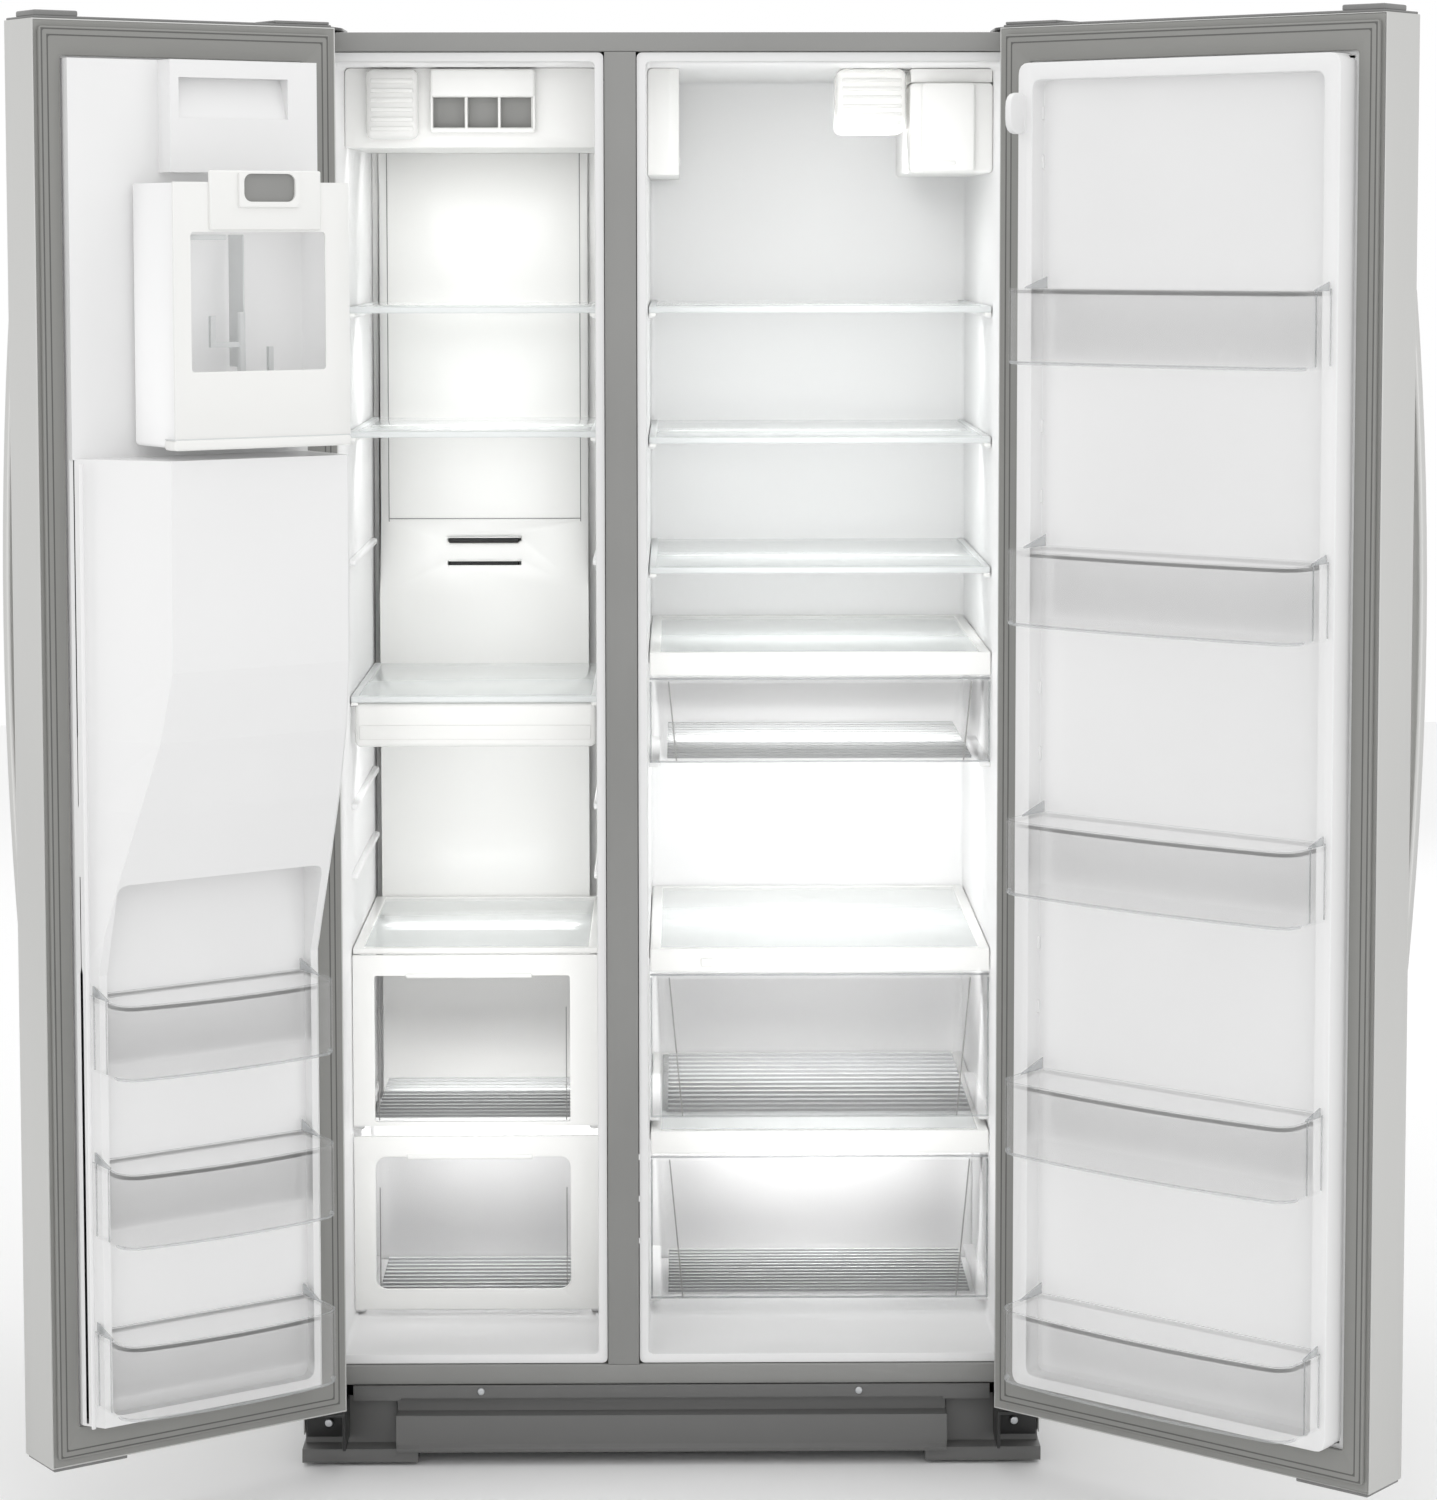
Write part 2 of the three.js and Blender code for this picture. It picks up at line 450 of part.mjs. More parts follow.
// ---- machinery -------------------------------------------------------------
function fanWheel(radius, hubR, depth, blades) {
  const parts = [rod(hubR, depth, 20)];
  for (let i = 0; i < blades; i += 1) {
    parts.push(new THREE.BoxGeometry(radius - hubR + 4, radius * 0.55, 2)
      .rotateX(0.5).translate((radius + hubR) / 2 - 2, 0, 0)
      .rotateZ((i / blades) * Math.PI * 2));
  }
  return join(...parts);
}
const COMPRESSOR_X = -230;
const MACHINE_Y = 582;
const CONDENSER_X = 110;
function buildMachinery() {
  const pot = [];
  const potR = 72;
  const potH = 168;
  const domeSteps = 6;
  pot.push([0, 0], [potR * 0.8, 0], [potR, 14], [potR, potH * 0.42], [potR + 4, potH * 0.44],
    [potR + 4, potH * 0.48], [potR, potH * 0.5], [potR, potH * 0.62]);
  for (let i = 1; i <= domeSteps; i += 1) {
    const a = (i / domeSteps) * (Math.PI / 2);
    pot.push([i === domeSteps ? 0 : potR * Math.cos(a), potH * 0.62 + potH * 0.38 * Math.sin(a)]);
  }
  const shell = new THREE.LatheGeometry(pot.map(([r, z]) => new THREE.Vector2(r, z)), 24)
    .rotateX(Math.PI / 2);
  const compressor = piece(cabinet, 'compressor', shell, blackPaint);
  compressor.position.set(COMPRESSOR_X, MACHINE_Y, WRAPPER_Z + 2 + CLEAR);

  const baseZ = WRAPPER_Z + 2 + CLEAR;
  const coilEnd = WHEEL_X - 20;
  const grooves = [];
  for (let x = CONDENSER_X + 22; x < coilEnd - 16; x += 26) {
    grooves.push(box(x, x + 14, MACHINE_Y - 82, MACHINE_Y + 40, baseZ + 12, baseZ + 170));
    grooves.push(box(x, x + 14, MACHINE_Y + 50, MACHINE_Y + 92, baseZ + 12, baseZ + 170));
  }
  const motorZ = baseZ + 90;
  piece(cabinet, 'condenser', join(
    cut(box(CONDENSER_X, coilEnd, MACHINE_Y - 75, MACHINE_Y + 85, baseZ, baseZ + 160), ...grooves),
    rodX(22, CONDENSER_X - 34, CONDENSER_X + 2, MACHINE_Y, motorZ, 20),
  ), finAluminium);
  const fan = piece(cabinet, 'condenser_fan',
    fanWheel(72, 20, 26, 5).rotateY(Math.PI / 2), darkPlastic);
  fan.position.set(CONDENSER_X - 34 - 1 - 13, MACHINE_Y, motorZ);

  const coverX0 = freezer.x0 + 9;
  const coverX1 = freezer.x1 - 22;
  const ledgeZ = CEILING - 594;
  const noseZ = CEILING - 693;
  const noseY = COVER_Y - 27;
  const t = 2.5;
  const cover = outline([
    [COVER_Y, CEILING - 97], [COVER_Y, ledgeZ], [noseY, noseZ], [noseY, FLOOR + STEP_H + 1],
    [noseY + t, FLOOR + STEP_H + 1], [noseY + t, noseZ + 1], [COVER_Y + t, ledgeZ + 1],
    [COVER_Y + t, CEILING - 97]]);
  const middle = (coverX0 + coverX1) / 2;
  const vents = [CEILING - 624, CEILING - 656].map((z) => box(
    middle - 50, middle + 50, noseY - 5, COVER_Y + 8, z, z + 7));
  piece(cabinet, 'evaporator_cover', cut(alongX(cover, coverX0, coverX1), ...vents), whitePlastic);

  const wheel = piece(cabinet, 'evaporator_fan',
    fanWheel(52, 16, 22, 5).rotateX(Math.PI / 2), darkPlastic);
  wheel.position.set(middle, COVER_Y + 30, ledgeZ + 110);
}

// ---- fittings near the ceiling ---------------------------------------------
function buildFittings() {
  // what fits under a liner's rounded ceiling, with a hair of room all round
  const underCeiling = (room) => alongY(outline(
    rect(room.x0 + CLEAR, room.x1 - CLEAR, FLOOR, CEILING - CLEAR), CORNER_R), SHELF_Y - 5, LINER_DEPTH);
  const housing = common(underCeiling(freezer), box(
    freezer.x0, freezer.x1, SHELF_Y - 2, COVER_Y - ICEMAKER_TO_COVER,
    CEILING - ICEMAKER_H, CEILING));
  const mouthX0 = freezer.x0 + 111;
  const bay = 38.5;
  const mouths = [0, 1, 2].map((i) => box(
    mouthX0 + i * (bay + 3), mouthX0 + i * (bay + 3) + bay, SHELF_Y - 3, SHELF_Y + 78,
    CEILING - 75, CEILING - 35));
  piece(cabinet, 'icemaker', cut(housing, ...mouths), whitePlastic);

  piece(cabinet, 'air_diffuser', common(underCeiling(fridge), alongZ(outline([
    [fridge.x0, SHELF_Y + 6], [fridge.x0 + 30, SHELF_Y + 6], [fridge.x0 + 40, SHELF_Y + 16],
    [fridge.x0 + 40, DIFFUSER_BACK], [fridge.x0, DIFFUSER_BACK]], 3), CEILING - 133, CEILING)),
    whitePlastic);

  const filterZ0 = CEILING - 131;
  const filterZ1 = CEILING - 19;
  piece(cabinet, 'filter_housing', alongY(outline(
    rect(fridge.x1 - 104, fridge.x1 - CLEAR, filterZ0, filterZ1), 6), SHELF_Y + 6, FILTER_BACK), whitePlastic);
  piece(cabinet, 'filter_cover', alongY(outline(
    rect(fridge.x1 - 90, fridge.x1 - 24, filterZ0 + 2, filterZ1), 5),
    SHELF_Y - 2, SHELF_Y + 6 - CLEAR), whitePlastic);
}

// ---- shelves, covers and drawers -------------------------------------------
const shelf = (room, z, back) => alongZ(outline(
  rect(room.x0 + SLIDE_CLEAR, room.x1 - SLIDE_CLEAR, SHELF_Y, back), 6), z - SHELF_T, z);

function drawerCover(room, z, back, band) {
  const x0 = room.x0 + SLIDE_CLEAR;
  const x1 = room.x1 - SLIDE_CLEAR;
  const slab = box(x0, x1, SHELF_Y - 4, back, z - COVER_T, z);
  if (!band) return slab;
  return join(slab, box(x0, x1, SHELF_Y - 9, SHELF_Y - 3, z - BAND_H, z));
}

function drawer(room, back, z0, z1, inset, frontY) {
  const x0 = room.x0 + SLIDE_CLEAR;
  const x1 = room.x1 - SLIDE_CLEAR;
  const t = DRAWER_WALL;
  const frontT = 6;
  const front = box(x0, x1, frontY, frontY + frontT, z0, z1);
  const tub = box(x0 + inset, x1 - inset, frontY + 1, back, z0, z1 - 9);
  const hollow = box(x0 + inset + t, x1 - inset - t, frontY + frontT, back - t, z0 + t, z1 + 1);
  return cut(join(tub, front), hollow);
}

function buildInside() {
  freezerShelves.forEach((z, i) => piece(
    cabinet, `freezer_shelf_${i + 1}`, shelf(freezer, z, SHELF_BACK_FREEZER), shelfGlass));
  fridgeShelves.forEach((z, i) => piece(
    cabinet, `fridge_shelf_${i + 1}`, shelf(fridge, z, SHELF_BACK_FRIDGE), shelfGlass));
  piece(cabinet, 'freezer_drawer_cover',
    drawerCover(freezer, freezerCoverTop, SHELF_BACK_FREEZER, false), shelfGlass);
  piece(cabinet, 'deli_cover', drawerCover(fridge, deliTop, SHELF_BACK_FRIDGE, true), shelfGlass);
  piece(cabinet, 'crisper_cover_upper',
    drawerCover(fridge, crisperTop, SHELF_BACK_FRIDGE, true), shelfGlass);
  piece(cabinet, 'crisper_cover_lower',
    drawerCover(fridge, crisperLowTop, SHELF_BACK_FRIDGE, true), shelfGlass);

  const frontY = SHELF_Y - 6;
  piece(cabinet, 'freezer_drawer_upper',
    drawer(freezer, STEP_Y, upperFreezerZ0, upperFreezerZ1, 6, frontY), whitePlastic);
  piece(cabinet, 'freezer_drawer_lower',
    drawer(freezer, LOW_DRAWER_BACK - 12, lowerFreezerZ0, lowerFreezerZ1, 6, frontY), whitePlastic);
  piece(cabinet, 'deli_drawer', drawer(fridge, DRAWER_BACK, deliZ0, deliZ1, 6, frontY), clearPlastic);
  piece(cabinet, 'crisper_upper',
    drawer(fridge, DRAWER_BACK, crisperZ0, crisperZ1, 6, frontY), clearPlastic);
  piece(cabinet, 'crisper_lower',
    drawer(fridge, LOW_DRAWER_BACK - 12, crisperLowZ0, crisperLowZ1, 6, frontY), clearPlastic);

  const bandFront = SHELF_Y - 9;
  const knobX = fridge.x0 + 66;
  piece(cabinet, 'humidity_slider', alongY(outline(
    rect(knobX, knobX + 16, crisperTop - 22, crisperTop - 12), 3),
    bandFront - CLEAR - 5, bandFront - CLEAR), whitePlastic);
}

// ---- doors -----------------------------------------------------------------
// side is -1 for the left door, 1 for the right. across() gives the X range that
// lies a to b in from the hinge pin, towards the latch edge.
const doors = {
  freezer: { side: -1, x0: -SIDE + DOOR_SIDE_INSET, x1: DOOR_SPLIT_X - DOOR_GAP / 2 },
  fridge: { side: 1, x0: DOOR_SPLIT_X + DOOR_GAP / 2, x1: SIDE - DOOR_SIDE_INSET },
};
for (const door of Object.values(doors)) {
  door.pinX = door.side * PIN_X;
  door.reach = door.side < 0 ? door.x1 - door.pinX : door.pinX - door.x0;
  door.across = (a, b) => (door.side < 0
    ? [door.pinX + a, door.pinX + b] : [door.pinX - b, door.pinX - a]);
  door.at = (a) => door.pinX - door.side * a;
  door.plan = (points) => (door.side < 0
    ? points.map(([a, y]) => [door.at(a), y])
    : points.map(([a, y]) => [door.at(a), y]).reverse());
}

// The steel pan: face and four edges folded back, open behind.
function doorSkin(door, windows) {
  const s = DOOR_SHEET;
  const plan = (o, back) => outline(
    [[door.x0 + o, back], [door.x0 + o, DOOR_FRONT_Y + o], [door.x1 - o, DOOR_FRONT_Y + o],
      [door.x1 - o, back]], 0);
  const rounding = DOOR_EDGE_R;
  const outer = common(
    alongZ(plan(0, DOOR_BACK_Y), DOOR_Z0, DOOR_Z1),
    alongZ(outline(rect(door.x0, door.x1, DOOR_FRONT_Y, DOOR_BACK_Y + 60), rounding),
      DOOR_Z0 - 1, DOOR_Z1 + 1));
  const pin = (z) => rodZ(PIN_BORE_R, door.pinX, PIN_Y, z - 4, z + 4);
  return cut(outer,
    common(
      alongZ(plan(s, DOOR_BACK_Y + 1), DOOR_Z0 + s, DOOR_Z1 - s),
      alongZ(outline(rect(door.x0 + s, door.x1 - s, DOOR_FRONT_Y + s, DOOR_BACK_Y + 60), rounding),
        DOOR_Z0, DOOR_Z1)),
    pin(DOOR_Z0), pin(DOOR_Z1), ...windows);
}

const RAISED_Z0 = OPEN_Z0 + LIP + 3;
const RAISED_Z1 = OPEN_Z1 - LIP - 8;
const RAISED_HINGE = 31;
function linerPlate(door) {
  const inset = DOOR_SHEET + CLEAR;
  return box(door.x0 + inset, door.x1 - inset, DOOR_BACK_Y - 0.3 - DOOR_LINER_T, DOOR_BACK_Y - 0.3,
    DOOR_Z0 + inset, DOOR_Z1 - inset);
}
function gasket(door) {
  const frame = outline([
    ...rect(door.x0 + (door.side < 0 ? 11 : 6), door.x1 - (door.side < 0 ? 6 : 11),
      DOOR_Z0 + 11, DOOR_Z1 - 9)], 4);
  const [hole0, hole1] = door.across(RAISED_HINGE - 6, door.reach - 31);
  frame.holes.push(outline(rect(hole0, hole1, RAISED_Z0 - 3, RAISED_Z1 + 3), 4));
  return alongY(frame, DOOR_BACK_Y, DOOR_BACK_Y + GASKET_T, 3);
}

// A bowed bar that turns in to the door at both ends.
function handle(door) {
  const half = HANDLE_L / 2;
  const steps = 14;
  const bow = (z) => HANDLE_OUT - (HANDLE_OUT - HANDLE_END_OUT) * (z / half) ** 2;
  const outer = [];
  const innerArc = [];
  const post = 26;
  for (let i = 0; i <= steps; i += 1) {
    const z = -half + (i / steps) * 2 * half;
    outer.push([DOOR_FRONT_Y - bow(z), HANDLE_Z + z]);
    const zi = z * ((half - post) / half);
    innerArc.push([DOOR_FRONT_Y - bow(zi) + HANDLE_T, HANDLE_Z + zi]);
  }
  const foot = DOOR_FRONT_Y - CLEAR;
  const points = [
    ...outer, [foot, HANDLE_Z + half], [foot, HANDLE_Z + half - post],
    ...innerArc.reverse(), [foot, HANDLE_Z - half + post], [foot, HANDLE_Z - half]];
  const [x0, x1] = door.across(door.reach - HANDLE_INSET - HANDLE_W, door.reach - HANDLE_INSET);
  return alongX(outline(points.reverse()), x0, x1);
}

// An open tray hooked between the raised edges of the door liner. Its latch end
// steps round that edge, and both front corners are rounded.
const BIN_BACK_Y = 14;
function doorBin(door, a0, a1, z0) {
  const hookY = DYKE_Y + 3;
  const plan = (o) => outline(door.plan([
    [a0 + o, BIN_BACK_Y + o], [a0 + o, BIN_DEPTH_Y - 26 + o / 2], [a0 + 24 + o / 2, BIN_DEPTH_Y - o],
    [a1 - 32 - o / 2, BIN_DEPTH_Y - o], [a1 - o, BIN_DEPTH_Y - 52],
    [a1 - o, hookY + o], [a1 - 20 - o, hookY + o], [a1 - 20 - o, BIN_BACK_Y + o]]), 0);
  return cut(alongZ(plan(0), z0, z0 + BIN_H),
    alongZ(plan(BIN_WALL), z0 + BIN_WALL, z0 + BIN_H + 1));
}

const DISPENSER_Z1 = NICHE_Z + NICHE_H;
const iceBinTop = CEILING - ICE_BIN_DROP;
const iceBinZ0 = iceBinTop - ICE_BIN_H;
const ICE_BIN_FRONT = 125;
const ICE_BIN_BACK = 14;
const ICE_BIN_A = [36, 260];      // from the pin, hinge end and latch end
const BLOCK_END = 220;            // latch end of the block over the ice bin

// The freezer door liner: a low tray for the bins, above it a swelling that
// hides the dispenser, a seat for the ice bin and a block with the ice inlet.
function freezerDoorLiner(door) {
  const latch = door.reach - 34;
  const swell = [
    [RAISED_Z0, DYKE_Y, latch - 16], [668, DYKE_Y, latch - 16], [715, 42, latch - 17],
    [780, 62, latch - 26], [860, 85, latch - 42], [940, 103, latch - 60],
    [1020, 112, latch - 72], [iceBinZ0 - 12, 113, latch - 73]];
  const back = DOOR_BACK_Y - 1;
  const section = ([z, depth, ridge], o) => ({
    z,
    points: door.plan([
      [RAISED_HINGE + o, back - (o ? 20 : 0)], [latch - o, back - (o ? 20 : 0)],
      [latch - o, Math.max(2 - o, back + 2)], [ridge - o, depth - o],
      [RAISED_HINGE + 4 + o, depth - o], [RAISED_HINGE + o, depth - 4 - o]]),
  });
  const t = DOOR_LINER_T;
  const bulk = loft(swell.map((row) => section(row, 0)));
  const trayTop = 775;
  const upper = swell.filter(([z]) => z > trayTop).map(([z, ...more], i, all) => {
    if (i === 0) return [trayTop + 5, ...more];
    return i === all.length - 1 ? [z - t, ...more] : [z, ...more];
  });
  const hollow = loft(upper.map((row) => section(row, t)));
  const [tray0, tray1] = door.across(RAISED_HINGE + 12, latch - 26);
  const tray = alongY(outline(rect(tray0, tray1, RAISED_Z0 + 12, trayTop), 12), 12, 200, 3);
  const seatTop = iceBinTop + 12;
  const [low0, low1] = door.across(RAISED_HINGE, latch);
  const seat = box(low0, low1, back, 10, iceBinZ0 - 13, seatTop + 1);
  const block = box(low0, door.at(BLOCK_END), back, 40, seatTop, RAISED_Z1);
  const edge = box(low0, low1, back, 10, seatTop, RAISED_Z1);
  const [pocket0, pocket1] = door.across(RAISED_HINGE + t, latch - t);
  const under = box(pocket0, pocket1, back - 20, 12 - t, RAISED_Z0 + t, trayTop + 6);
  const behindSeat = box(pocket0, pocket1, back - 20, 10 - t, trayTop + 5, seatTop + 1);
  const behindBlock = box(pocket0, door.at(BLOCK_END - t), back - 20, 40 - t, seatTop + t, RAISED_Z1 - t);
  const behindEdge = box(pocket0, pocket1, back - 20, 10 - t, seatTop - 1, RAISED_Z1 - t);
  const [inlet0, inlet1] = door.across(69, 209);
  const inlet = alongX(outline([
    [60, RAISED_Z1 - 20], [20, RAISED_Z1 - 20], [36, RAISED_Z1 - 66], [60, RAISED_Z1 - 66]]),
  inlet0, inlet1);
  const inletWall = alongX(outline([
    [39, RAISED_Z1 - 20 + t], [20 - t, RAISED_Z1 - 20 + t], [20 - t, RAISED_Z1 - 24],
    [35, RAISED_Z1 - 66 - t], [39, RAISED_Z1 - 66 - t]]), inlet0 - t, inlet1 + t);
  const solid = join(linerPlate(door), bulk, seat, block, edge);
  const carved = cut(solid, tray, under, behindSeat, hollow, behindBlock, behindEdge);
  return cut(join(carved, inletWall), inlet);
}

// The fresh-food door liner: one raised rim around a flat panel, and a rounded
// tab near the top that works the lamp switch.
function fridgeDoorLiner(door) {
  const latch = door.reach - 37;
  const back = DOOR_BACK_Y - 1;
  const t = DOOR_LINER_T;
  const rimW = 20;
  const panelY = 4;
  const [rim0, rim1] = door.across(RAISED_HINGE, latch);
  const rim = alongY(outline(rect(rim0, rim1, RAISED_Z0, RAISED_Z1), 14), back, DYKE_Y);
  const [in0, in1] = door.across(RAISED_HINGE + rimW, latch - rimW);
  const panel = alongY(outline(
    rect(in0, in1, RAISED_Z0 + rimW - 6, RAISED_Z1 - rimW), 12), panelY, DYKE_Y + 5);
  const [cav0, cav1] = door.across(RAISED_HINGE + t, latch - t);
  const behind = box(cav0, cav1, back - 20, panelY - t, RAISED_Z0 + t, RAISED_Z1 - t);
  const [tab0, tab1] = door.across(RAISED_HINGE + 2, RAISED_HINGE + 10);
  const tab = alongX(outline([
    [DYKE_Y - 4, RAISED_Z1 - 84], [58, RAISED_Z1 - 82], [58, RAISED_Z1 - 36],
    [DYKE_Y - 4, RAISED_Z1 - 34]], 16), tab0, tab1, 4);
  return join(cut(join(linerPlate(door), rim), panel, behind), tab);
}

function buildFreezerDoor() {
  const door = doors.freezer;
  const middle = door.reach / 2 + 4;
  const [nicheX0, nicheX1] = door.across(middle - NICHE_W / 2, middle + NICHE_W / 2);
  const t = DRAWER_WALL;
  const cutout = box(nicheX0 - t - 1, nicheX1 + t + 1, DOOR_FRONT_Y - 5, DOOR_FRONT_Y + 20,
    NICHE_Z - t - 1, DISPENSER_Z1 + t + 1);
  piece(freezerDoor, 'freezer_door_skin', doorSkin(door, [cutout]), stainless);
  piece(freezerDoor, 'freezer_door_liner', freezerDoorLiner(door), whitePlastic);
  piece(freezerDoor, 'freezer_door_gasket', gasket(door), gasketRubber);
  piece(freezerDoor, 'freezer_door_handle', handle(door), stainless);

  const nicheBack = DOOR_FRONT_Y + NICHE_DEPTH;
  const bezel = alongY(outline(rect(nicheX0 - 14, nicheX1 + 14, NICHE_Z - 14, DISPENSER_Z1 + 14), 8),
    DOOR_FRONT_Y - CLEAR - 2, DOOR_FRONT_Y - CLEAR);
  piece(freezerDoor, 'dispenser_housing', cut(
    join(bezel, box(nicheX0 - t, nicheX1 + t, DOOR_FRONT_Y - 1, nicheBack + t,
      NICHE_Z - t, DISPENSER_Z1 + t)),
    box(nicheX0, nicheX1, DOOR_FRONT_Y - 5, nicheBack, NICHE_Z, DISPENSER_Z1)), darkPlastic);
  const paddleZ = NICHE_Z + 250;
  const paddleX = (nicheX0 + nicheX1) / 2;
  piece(freezerDoor, 'dispenser_paddle', join(
    alongY(outline(rect(paddleX - 32, paddleX + 32, paddleZ - 120, paddleZ), 10),
      nicheBack - 34, nicheBack - 30),
    rodX(4, nicheX0 + 1, nicheX1 - 1, nicheBack - 32, paddleZ - 3, 12)), darkPlastic);

  const [binA0, binA1] = ICE_BIN_A;
  const front = ICE_BIN_FRONT;
  const body = (o, z0, z1) => alongZ(outline(door.plan([
    [binA0 + o, ICE_BIN_BACK + o], [binA0 + o, front - 12], [binA0 + 12 + o / 2, front - o],
    [binA1 - 10 - o / 2, front - o], [binA1 - o, front - 12], [binA1 - o, ICE_BIN_BACK + o]])), z0, z1);
  piece(freezerDoor, 'ice_bin', cut(
    body(0, iceBinZ0, iceBinTop),
    body(DRAWER_WALL, iceBinZ0 + DRAWER_WALL, iceBinTop + 1)), clearPlastic);
  const augerX = door.at((binA0 + binA1) / 2);
  const augerY = (ICE_BIN_BACK + ICE_BIN_FRONT) / 2;
  const augerZ = iceBinZ0 + DRAWER_WALL + 1;
  piece(freezerDoor, 'ice_auger', join(
    rodZ(22, augerX, augerY, augerZ, augerZ + 14, 20),
    rodZ(5, augerX, augerY, augerZ + 10, augerZ + 150, 10),
    box(augerX - 40, augerX + 4, augerY - 3, augerY + 3, augerZ + 60, augerZ + 66),
    box(augerX - 40, augerX - 34, augerY - 3, augerY + 3, augerZ + 60, augerZ + 110),
    box(augerX - 4, augerX + 40, augerY - 3, augerY + 3, augerZ + 110, augerZ + 116),
    box(augerX + 34, augerX + 40, augerY - 3, augerY + 3, augerZ + 110, augerZ + 146),
  ), zincSteel);
  FREEZER_BIN_Z.forEach((z, i) => piece(freezerDoor, `freezer_door_bin_${FREEZER_BIN_Z.length - i}`,
    doorBin(door, 46, door.reach - 42, FLOOR + z), clearPlastic));
}

function buildFridgeDoor() {
  const door = doors.fridge;
  piece(fridgeDoor, 'fridge_door_skin', doorSkin(door, []), stainless);
  piece(fridgeDoor, 'fridge_door_liner', fridgeDoorLiner(door), whitePlastic);
  piece(fridgeDoor, 'fridge_door_gasket', gasket(door), gasketRubber);
  piece(fridgeDoor, 'fridge_door_handle', handle(door), stainless);
  FRIDGE_BIN_Z.forEach((z, i) => piece(fridgeDoor, `fridge_door_bin_${FRIDGE_BIN_Z.length - i}`,
    doorBin(door, 60, door.reach - 44, FLOOR + z), clearPlastic));
}

buildShell();
buildLiners();
buildBase();
buildHinges();
buildMachinery();
buildFittings();
buildInside();
buildFreezerDoor();
buildFridgeDoor();

// The origin is the middle of the footprint, on the floor, doors as they stand.
refrigerator.updateMatrixWorld(true);
const extent = new THREE.Box3().setFromObject(refrigerator, true);
refrigerator.position.set(
  -(extent.min.x + extent.max.x) / 2, -(extent.min.y + extent.max.y) / 2, -extent.min.z);

export default refrigerator;
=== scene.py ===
"""Side by side refrigerator with both doors standing open: looks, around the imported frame."""
import json
import math

import bpy
import bmesh
from mathutils import Matrix, Vector

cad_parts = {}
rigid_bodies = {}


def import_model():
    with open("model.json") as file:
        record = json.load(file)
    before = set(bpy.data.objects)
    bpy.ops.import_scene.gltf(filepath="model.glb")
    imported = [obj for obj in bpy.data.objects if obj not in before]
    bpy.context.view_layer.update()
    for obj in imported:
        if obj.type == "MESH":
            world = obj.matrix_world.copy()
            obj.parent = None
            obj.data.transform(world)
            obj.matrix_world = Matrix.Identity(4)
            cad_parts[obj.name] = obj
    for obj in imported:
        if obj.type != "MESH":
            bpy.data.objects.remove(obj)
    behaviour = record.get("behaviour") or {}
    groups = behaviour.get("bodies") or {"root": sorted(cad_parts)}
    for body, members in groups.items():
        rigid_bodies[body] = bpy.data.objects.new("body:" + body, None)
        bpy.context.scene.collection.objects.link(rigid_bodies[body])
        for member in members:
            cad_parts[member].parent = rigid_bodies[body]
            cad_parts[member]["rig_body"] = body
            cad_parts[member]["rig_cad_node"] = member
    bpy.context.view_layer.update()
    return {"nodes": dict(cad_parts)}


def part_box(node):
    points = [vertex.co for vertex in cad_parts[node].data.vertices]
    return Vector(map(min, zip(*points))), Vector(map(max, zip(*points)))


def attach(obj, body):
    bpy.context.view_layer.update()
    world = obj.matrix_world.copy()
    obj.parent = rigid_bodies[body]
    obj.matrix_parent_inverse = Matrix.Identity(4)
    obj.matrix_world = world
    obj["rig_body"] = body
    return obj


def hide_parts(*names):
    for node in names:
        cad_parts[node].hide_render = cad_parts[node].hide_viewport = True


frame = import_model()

# The camera stands a little above chest height, 4.6 m in front of the cabinet,
# and looks slightly down. mm() turns millimetres from the cabinet's middle, its
# front face and the floor into the frame.
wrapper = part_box("cabinet_wrapper")
MIDDLE = (wrapper[0].x + wrapper[1].x) / 2
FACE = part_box("face_frame")[0].y


def mm(x, y, z):
    return Vector((MIDDLE + x / 1000, FACE + y / 1000, z / 1000))


camera_data = bpy.data.cameras.new("camera")
camera_data.lens = 91.34
camera_data.sensor_width = 36
camera_data.shift_y = -0.1487
camera = bpy.data.objects.new("camera", camera_data)
camera.location = mm(12.7, -4604, 1514)
camera.rotation_euler = (math.radians(90 - 4.4), math.radians(0.06), math.radians(-0.58))
bpy.context.scene.collection.objects.link(camera)
bpy.context.scene.camera = camera


# Studio: a pale floor, soft panels in front, at the sides, overhead and behind, and
# an even white surround. Small lights stand in for the compartments' lamps and for
# what the shelves and covers pass down.
def srgb(code):
    """The linear value of an sRGB hex colour."""
    levels = [int(code[i:i + 2], 16) / 255 for i in (1, 3, 5)]
    return (*[c / 12.92 if c <= 0.04045 else ((c + 0.055) / 1.055) ** 2.4 for c in levels], 1)


def link_node(material, kind, settings=(), **links):
    """Adds a node; settings are its properties and socket values, links are its inputs."""
    made = material.node_tree.nodes.new(kind)
    for name, value in dict(settings).items():
        if name in made.inputs:
            made.inputs[name].default_value = value
        else:
            setattr(made, name, value)
    for name, source in links.items():
        material.node_tree.links.new(source, made.inputs[name.replace("_", " ")])
    return made


def plain_material(name, colour, roughness, metallic=0.0, **more):
    """A material with one shader, whose constants sit on the shader's own sockets."""
    material = bpy.data.materials.new(name)
    material.use_nodes = True
    shader = material.node_tree.nodes["Principled BSDF"]
    shader.inputs["Base Color"].default_value = srgb(colour)
    shader.inputs["Roughness"].default_value = roughness
    shader.inputs["Metallic"].default_value = metallic
    for socket, value in more.items():
        shader.inputs[socket.replace("_", " ")].default_value = value
    return material, shader


floor_material, _ = plain_material("matt_studio_floor", "#f4f4f4", 0.9)
bpy.ops.mesh.primitive_plane_add(size=14, location=(0, 0, -0.0005))
floor = bpy.context.object
floor.name = "studio_floor"
floor.data.materials.append(floor_material)


